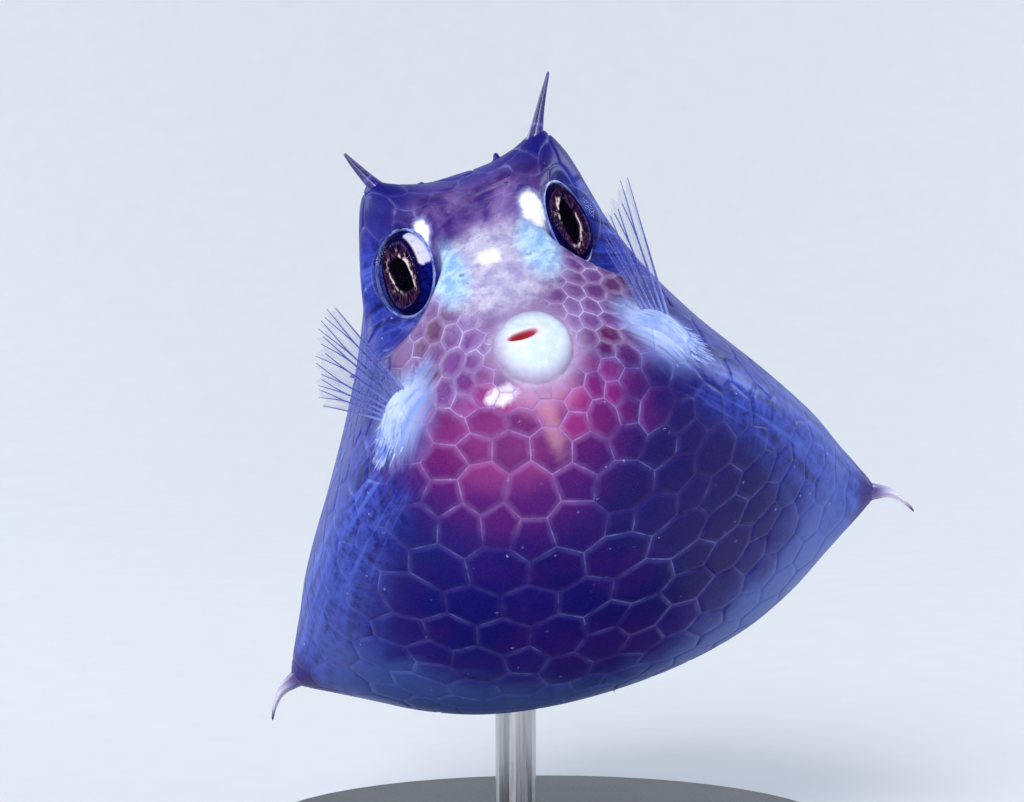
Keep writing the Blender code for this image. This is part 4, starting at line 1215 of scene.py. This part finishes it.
finLook = {
    "webHalf": 0.035,
    "rayHalf": 0.085,
    "rows": 26,
    "columns": 8,                      # between two rays
    "ripple": 0.1,
    "scallop": 0.07,
    "branch": 0.55,                    # where a ray forks
    "fork": 0.32,
    "sway": 0.22,
    "reach": (0.86, 0.985),
    "steps": 14,
    "taper": 0.72,
    "thin": 0.85,                      # a ray's radius past its fork
    "tones": {
        "webDark": (24, 28, 128), "webPale": (78, 96, 206), "rayPale": (112, 130, 216),
        "rayDark": (44, 40, 146), "rayBand": (120, 130, 220),
    },
}


def makeWebMaterial():
    web = Finish("finWeb", finLook["tones"], "webDark", 0.3, Sheen_Weight=0.3)
    length = web.attribute("length")
    fine = web.noise(web.fishPlace(), 1.5, 3, 0.6)
    streak = web.noise(web.combine(web.attribute("across") * 60, length * 3), 1.0, 2, 0.6)
    web.lay(streak.ease(0.35, 0.65), "webPale")
    return web.feed(Alpha=(0.3 - length * 0.22 + (streak - 0.5) * 0.5).most(0.04),
                    Roughness=0.25 + fine * 0.2)


def makeRayMaterial():
    ray = Finish("finRay", finLook["tones"], "rayPale", 0.35, Sheen_Weight=0.5,
                 Sheen_Tint=(0.7, 0.8, 1.0, 1.0))
    length = ray.attribute("length")
    grain = ray.noise(ray.fishPlace(), 5.0, 2, 0.6)
    bands = (length * 150).sine().ease(0.2, 0.9)
    ray.lay(length.ease(0.0, 0.5), "rayDark")
    ray.lay(bands * 0.3 + grain.ease(0.5, 0.7) * 0.3, "rayBand")
    return ray.feed(Roughness=0.3 + grain * 0.2, Normal=ray.bump(grain, 0.3, 0.00004))


webMaterial = makeWebMaterial()
rayMaterial = makeRayMaterial()


def finPoint(blade, q, t):  # q runs from the first ray to the last, t from root to edge
    heading = unit(unit(blade["first"]) * (1 - q) + unit(blade["last"]) * q)
    a, b, c = blade["lengths"]
    length = a * (1 - q) * (1 - 2 * q) + b * 4 * q * (1 - q) + c * q * (2 * q - 1)
    root = blade["start"] * (1 - q) + blade["end"] * q
    return root + heading * length * t + blade["bend"] * t * t


def makeWeb(name, blade, rays, node):
    bm = bmesh.new()
    bmesh.ops.create_grid(bm, x_segments=rays * finLook["columns"],
                          y_segments=finLook["rows"], size=0.5)
    lengthLayer = bm.verts.layers.float.new("length")
    acrossLayer = bm.verts.layers.float.new("across")
    for vert in bm.verts:
        q, t = vert.co.x + 0.5, vert.co.y + 0.5
        phase = q * (rays - 1) * math.pi
        ripple = finLook["ripple"] * math.sin(phase * 2) * t * t
        reach = t * (0.97 - finLook["scallop"] * abs(math.sin(phase)))
        vert[lengthLayer], vert[acrossLayer] = t, q
        step = (finPoint(blade, min(q + 0.02, 1), reach)
                - finPoint(blade, max(q - 0.02, 0), reach))
        out = unit(np.cross(step, finPoint(blade, q, 1) - finPoint(blade, q, 0)))
        vert.co = finPoint(blade, q, reach) + out * ripple
    bmesh.ops.solidify(bm, geom=bm.faces[:], thickness=finLook["webHalf"] * 2)
    bmesh.ops.recalc_face_normals(bm, faces=bm.faces)
    toWorld(bm)
    finishPiece(name + "_web", bm, webMaterial, (node,))


def makeRays(name, blade, rays, node):
    bm = bmesh.new()
    rng = np.random.default_rng(rays)
    branch = finLook["branch"]
    for i in range(rays):
        forks = (0.0,) if i in (0, rays - 1) else (-finLook["fork"], finLook["fork"])
        sway = rng.uniform(-finLook["sway"], finLook["sway"])
        for fork in forks:
            reach = rng.uniform(*finLook["reach"])
            points, radii = [], []
            for j in range(finLook["steps"] + 1):
                t = j / finLook["steps"] * reach
                spread = fork * float(smoothstep(branch, 1.0, t)) + sway * math.sin(t * 3)
                points.append(finPoint(blade, min(max((i + spread) / (rays - 1), 0), 1), t))
                thin = 1 if t < branch else finLook["thin"]
                radii.append(finLook["rayHalf"] * (1 - finLook["taper"] * t) * thin)
            join(bm, sweep(points, radii, 8))
    toWorld(bm)
    finishPiece(name + "_rays", bm, rayMaterial, (node,))


def makeFin(name, blade, node):
    rays = blade["rays"]
    blade = {key: np.asarray(value, float) for key, value in blade.items()}
    makeWeb(name, blade, rays, node)
    makeRays(name, blade, rays, node)


def makeTailBlade():       # the fan stands upright behind the stalk
    run = unit(tailFan["run"])
    rise = np.array((0, -run[2], run[1]))
    spread = math.radians(tail["fan"])
    root = tailFan["middle"] - run * tailFan["sink"]
    return {**tailFan, "start": root + rise * tail["half"], "end": root - rise * tail["half"],
            "first": run * math.cos(spread) + rise * math.sin(spread),
            "last": run * math.cos(spread) - rise * math.sin(spread),
            "lengths": [length + tailFan["past"] for length in tail["lengths"]]}


# The frayed end of each pectoral fin's pad, combed flat.
fringe = {
    "threads": 80,
    "seed": 11,
    "spread": 0.5,                     # of the threads' directions, in radians
    "start": (0.5, 0.95),              # where a thread leaves the pad, as a share of its radius
    "size": (0.2, 0.34),
    "middle": (0.2, 0.3),              # how much longer the middle threads are, and over what angle
    "stray": 0.12,
    "splay": 0.4,
    "lay": (0.06, 0.1),                # how low a thread starts in the flesh, and how it lifts
    "radii": (0.05, 0.045, 0.03, 0.012),
    "steps": (0.0, 0.35, 0.7, 1.0),
    "tones": {"blue": (128, 154, 228), "pale": (198, 218, 252), "end": (92, 112, 208)},
}


def makeFringeMaterial():
    flesh = Finish("fringeFlesh", fringe["tones"], "blue", 0.5, Specular_IOR_Level=0.3,
                   Sheen_Weight=0.2, Sheen_Tint=(0.6, 0.75, 1.0, 1.0))
    fine = flesh.noise(flesh.fishPlace(), 1.8, 4, 0.6)
    flesh.lay(fine.ease(0.35, 0.65), "pale")
    flesh.lay(flesh.attribute("length") * 0.5, "end")
    return flesh.feed(Roughness=0.4 + fine * 0.2)


fringeMaterial = makeFringeMaterial()


def makeFringe(side, word):
    place = padFrame(side)
    length, width = pad["stretch"]
    more, within = fringe["middle"]
    low, lift = fringe["lay"]
    rng = np.random.default_rng(fringe["seed"] + side)
    bm = bmesh.new()
    for i in range(fringe["threads"]):
        angle = rng.normal(0, fringe["spread"])
        start = rng.uniform(*fringe["start"])
        size = rng.uniform(*fringe["size"]) + more * math.exp(-(angle / within) ** 2)
        foot = Vector((math.cos(angle) * length, math.sin(angle) * width, 0)) * pad["radius"]
        stray = rng.normal(0, fringe["stray"])
        away = Vector((1, stray + angle * fringe["splay"], 0)) * pad["radius"]
        rise = pad["height"] * float(1 - smoothstep(*pad["slope"], start))
        points = [place @ (foot * start + away * size * t
                           + Vector((0, 0, rise * (1 - t * 0.6) - low + lift * t)))
                  for t in fringe["steps"]]
        join(bm, sweep(points, fringe["radii"], 6))
    toWorld(bm)
    finishPiece("pectoral_fringe_" + word, bm, fringeMaterial,
                ("pectoral_fin_" + word,))


for blade, (side, word) in zip((fanLeft, fanRight), sides):
    makeFringe(side, word)
    seat = shellFrame(onSide(pad["place"], side))
    root = blade["root"] * side
    blade["start"], blade["end"] = (seat @ Vector((x, 0.1, 0.3)) for x in (-root, root))
    makeFin("pectoral_" + word, blade, "pectoral_fin_" + word)
for name, blade in (("dorsal_fin", dorsal), ("anal_fin", anal)):
    seat = shellFrame(blade["place"])
    reach = keel["half"] - keel["margin"]
    ends = [seat @ Vector((0, y, -keel["depth"])) for y in (reach, -reach)]
    blade["start"], blade["end"] = sorted(ends, key=lambda point: point.y)
    makeFin(name, blade, name)
makeFin("tail_fin", makeTailBlade(), "tail_fin")
print("fins made")


stand = {
    "tones": {
        "paintDark": (38.7, 38.7, 42.8), "paintPale": (59.9, 59.9, 64.5),
        "steelDark": (180.6, 182.4, 185.8), "steelPale": (206.4, 207.9, 210.8),
    },
    "speck": 4000.0,                   # grains for each metre
    "broad": 120.0,
    "brush": (9000, 9000, 300),        # fine round the rod, long along it
}


def makeStand():
    paint = Finish("basePaint", stand["tones"], "paintDark", 0.45, Coat_Weight=0.15)
    speck = paint.noise(paint.objectPlace(), stand["speck"], 3, 0.6)
    broad = paint.noise(paint.objectPlace(), stand["broad"], 3, 0.5)
    paint.lay(speck.ease(0.35, 0.65), "paintPale")
    paint.feed(Roughness=0.36 + broad * 0.16, Normal=paint.bump(speck, 0.25, 0.00003))
    steel = Finish("rodSteel", stand["tones"], "steelDark", 0.28, Metallic=1.0)
    stretched = steel.add("ShaderNodeMapping", {}, {0: steel.objectPlace(), 3: stand["brush"]})
    brush = steel.noise(stretched, 1.0, 2, 0.5)
    steel.lay(brush.ease(0.3, 0.7), "steelPale")
    steel.feed(Roughness=0.2 + brush * 0.2, Normal=steel.bump(brush, 0.2, 0.00001))
    for name, finish in (("stand_base", paint), ("stand_rod", steel)):
        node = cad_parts[name]
        node.data.materials.clear()
        node.data.materials.append(finish.material)


makeStand()
print("stand painted")


studio = {
    "floorHalf": 1.2,
    "floorFront": -1.5,
    "wallAt": 0.45,
    "wallHigh": 1.1,
    "curve": 0.25,
    "curveSteps": 12,
    "tooth": 300.0,
    "tones": {"paper": (225.9, 227.2, 231.1), "paperPale": (231.1, 232.4, 236.1)},
    "aim": (0, 0, 0.025),
    "lamps": {                         # place, size, watts, colour
        "key": ((-0.12, -0.42, 0.34), 0.22, 2.0, (1, 1, 1)),
        "fill": ((0.42, -0.3, 0.2), 0.3, 0.4, (0.9, 0.95, 1.0)),
        "low": ((-0.02, -0.42, 0.03), 0.16, 0.45, (1.0, 0.9, 1.0)),
        "rimLeft": ((-0.36, 0.2, 0.2), 0.22, 1.1, (0.8, 0.9, 1.0)),
        "rimRight": ((0.36, 0.22, 0.24), 0.22, 1.1, (0.8, 0.9, 1.0)),
    },
    "sky": (0.8, 0.84, 0.9, 1),
    "skyStrength": 0.2,
    "distance": 0.230,
    "elevation": 4.0,
    "shift": (-2.229, 3.494),          # mm sideways and up
    "lens": 134.2,
    "sensor": 36.0,
}


def makeFloor():           # a floor that curves up into the wall behind
    bend, wall, half = studio["curve"], studio["wallAt"], studio["floorHalf"]
    points = [(studio["floorFront"], 0), (wall - bend, 0)]
    for i in range(1, studio["curveSteps"] + 1):
        angle = i / studio["curveSteps"] * math.pi / 2
        points.append((wall - bend * (1 - math.sin(angle)), bend * (1 - math.cos(angle))))
    points.append((wall, studio["wallHigh"]))
    bm = bmesh.new()
    verts = [bm.verts.new((-half, y, z)) for y, z in points]
    edges = [bm.edges.new(pair) for pair in zip(verts, verts[1:])]
    made = bmesh.ops.extrude_edge_only(bm, edges=edges)["geom"]
    bmesh.ops.translate(bm, vec=(2 * half, 0, 0),
                        verts=[v for v in made if isinstance(v, bmesh.types.BMVert)])
    bmesh.ops.recalc_face_normals(bm, faces=bm.faces)
    mesh = bpy.data.meshes.new("studio_floor")
    bm.to_mesh(mesh)
    bm.free()
    mesh.shade_smooth()
    paper = Finish("paper", studio["tones"], "paper", 0.8)
    paper.lay(paper.noise(paper.objectPlace(), studio["tooth"], 3, 0.5), "paperPale")
    mesh.materials.append(paper.feed())
    floor = bpy.data.objects.new("studio_floor", mesh)
    bpy.context.scene.collection.objects.link(floor)


def lightStudio():
    for name, (place, size, watts, colour) in studio["lamps"].items():
        data = bpy.data.lights.new(name, "AREA")
        data.shape = "SQUARE"
        data.size = size
        data.energy = watts
        data.color = colour
        lamp = bpy.data.objects.new(name, data)
        lamp.matrix_world = frameOn(place, Vector(place) - Vector(studio["aim"]))
        bpy.context.scene.collection.objects.link(lamp)
    world = bpy.data.worlds.new("studio")
    world.use_nodes = True
    sky = world.node_tree.nodes["Background"].inputs
    sky[0].default_value = studio["sky"]
    sky[1].default_value = studio["skyStrength"]
    bpy.context.scene.world = world
    bpy.context.scene.view_settings.view_transform = "Standard"


def placeCamera():
    tilt = math.radians(studio["elevation"])
    back = Vector((0, -math.cos(tilt), math.sin(tilt)))
    right = Vector((1, 0, 0))
    aside, above = studio["shift"]
    place = (Vector(pose["centre"]) * 0.001 + back * studio["distance"]
             + right * aside * 0.001 + back.cross(right) * above * 0.001)
    data = bpy.data.cameras.new("camera")
    data.lens = studio["lens"]
    data.sensor_width = studio["sensor"]
    data.clip_start = 0.01
    camera = bpy.data.objects.new("camera", data)
    camera.matrix_world = frameOn(place, back)
    bpy.context.scene.collection.objects.link(camera)
    bpy.context.scene.camera = camera


makeFloor()
lightStudio()
placeCamera()
print("studio set")

bpy.context.view_layer.update()
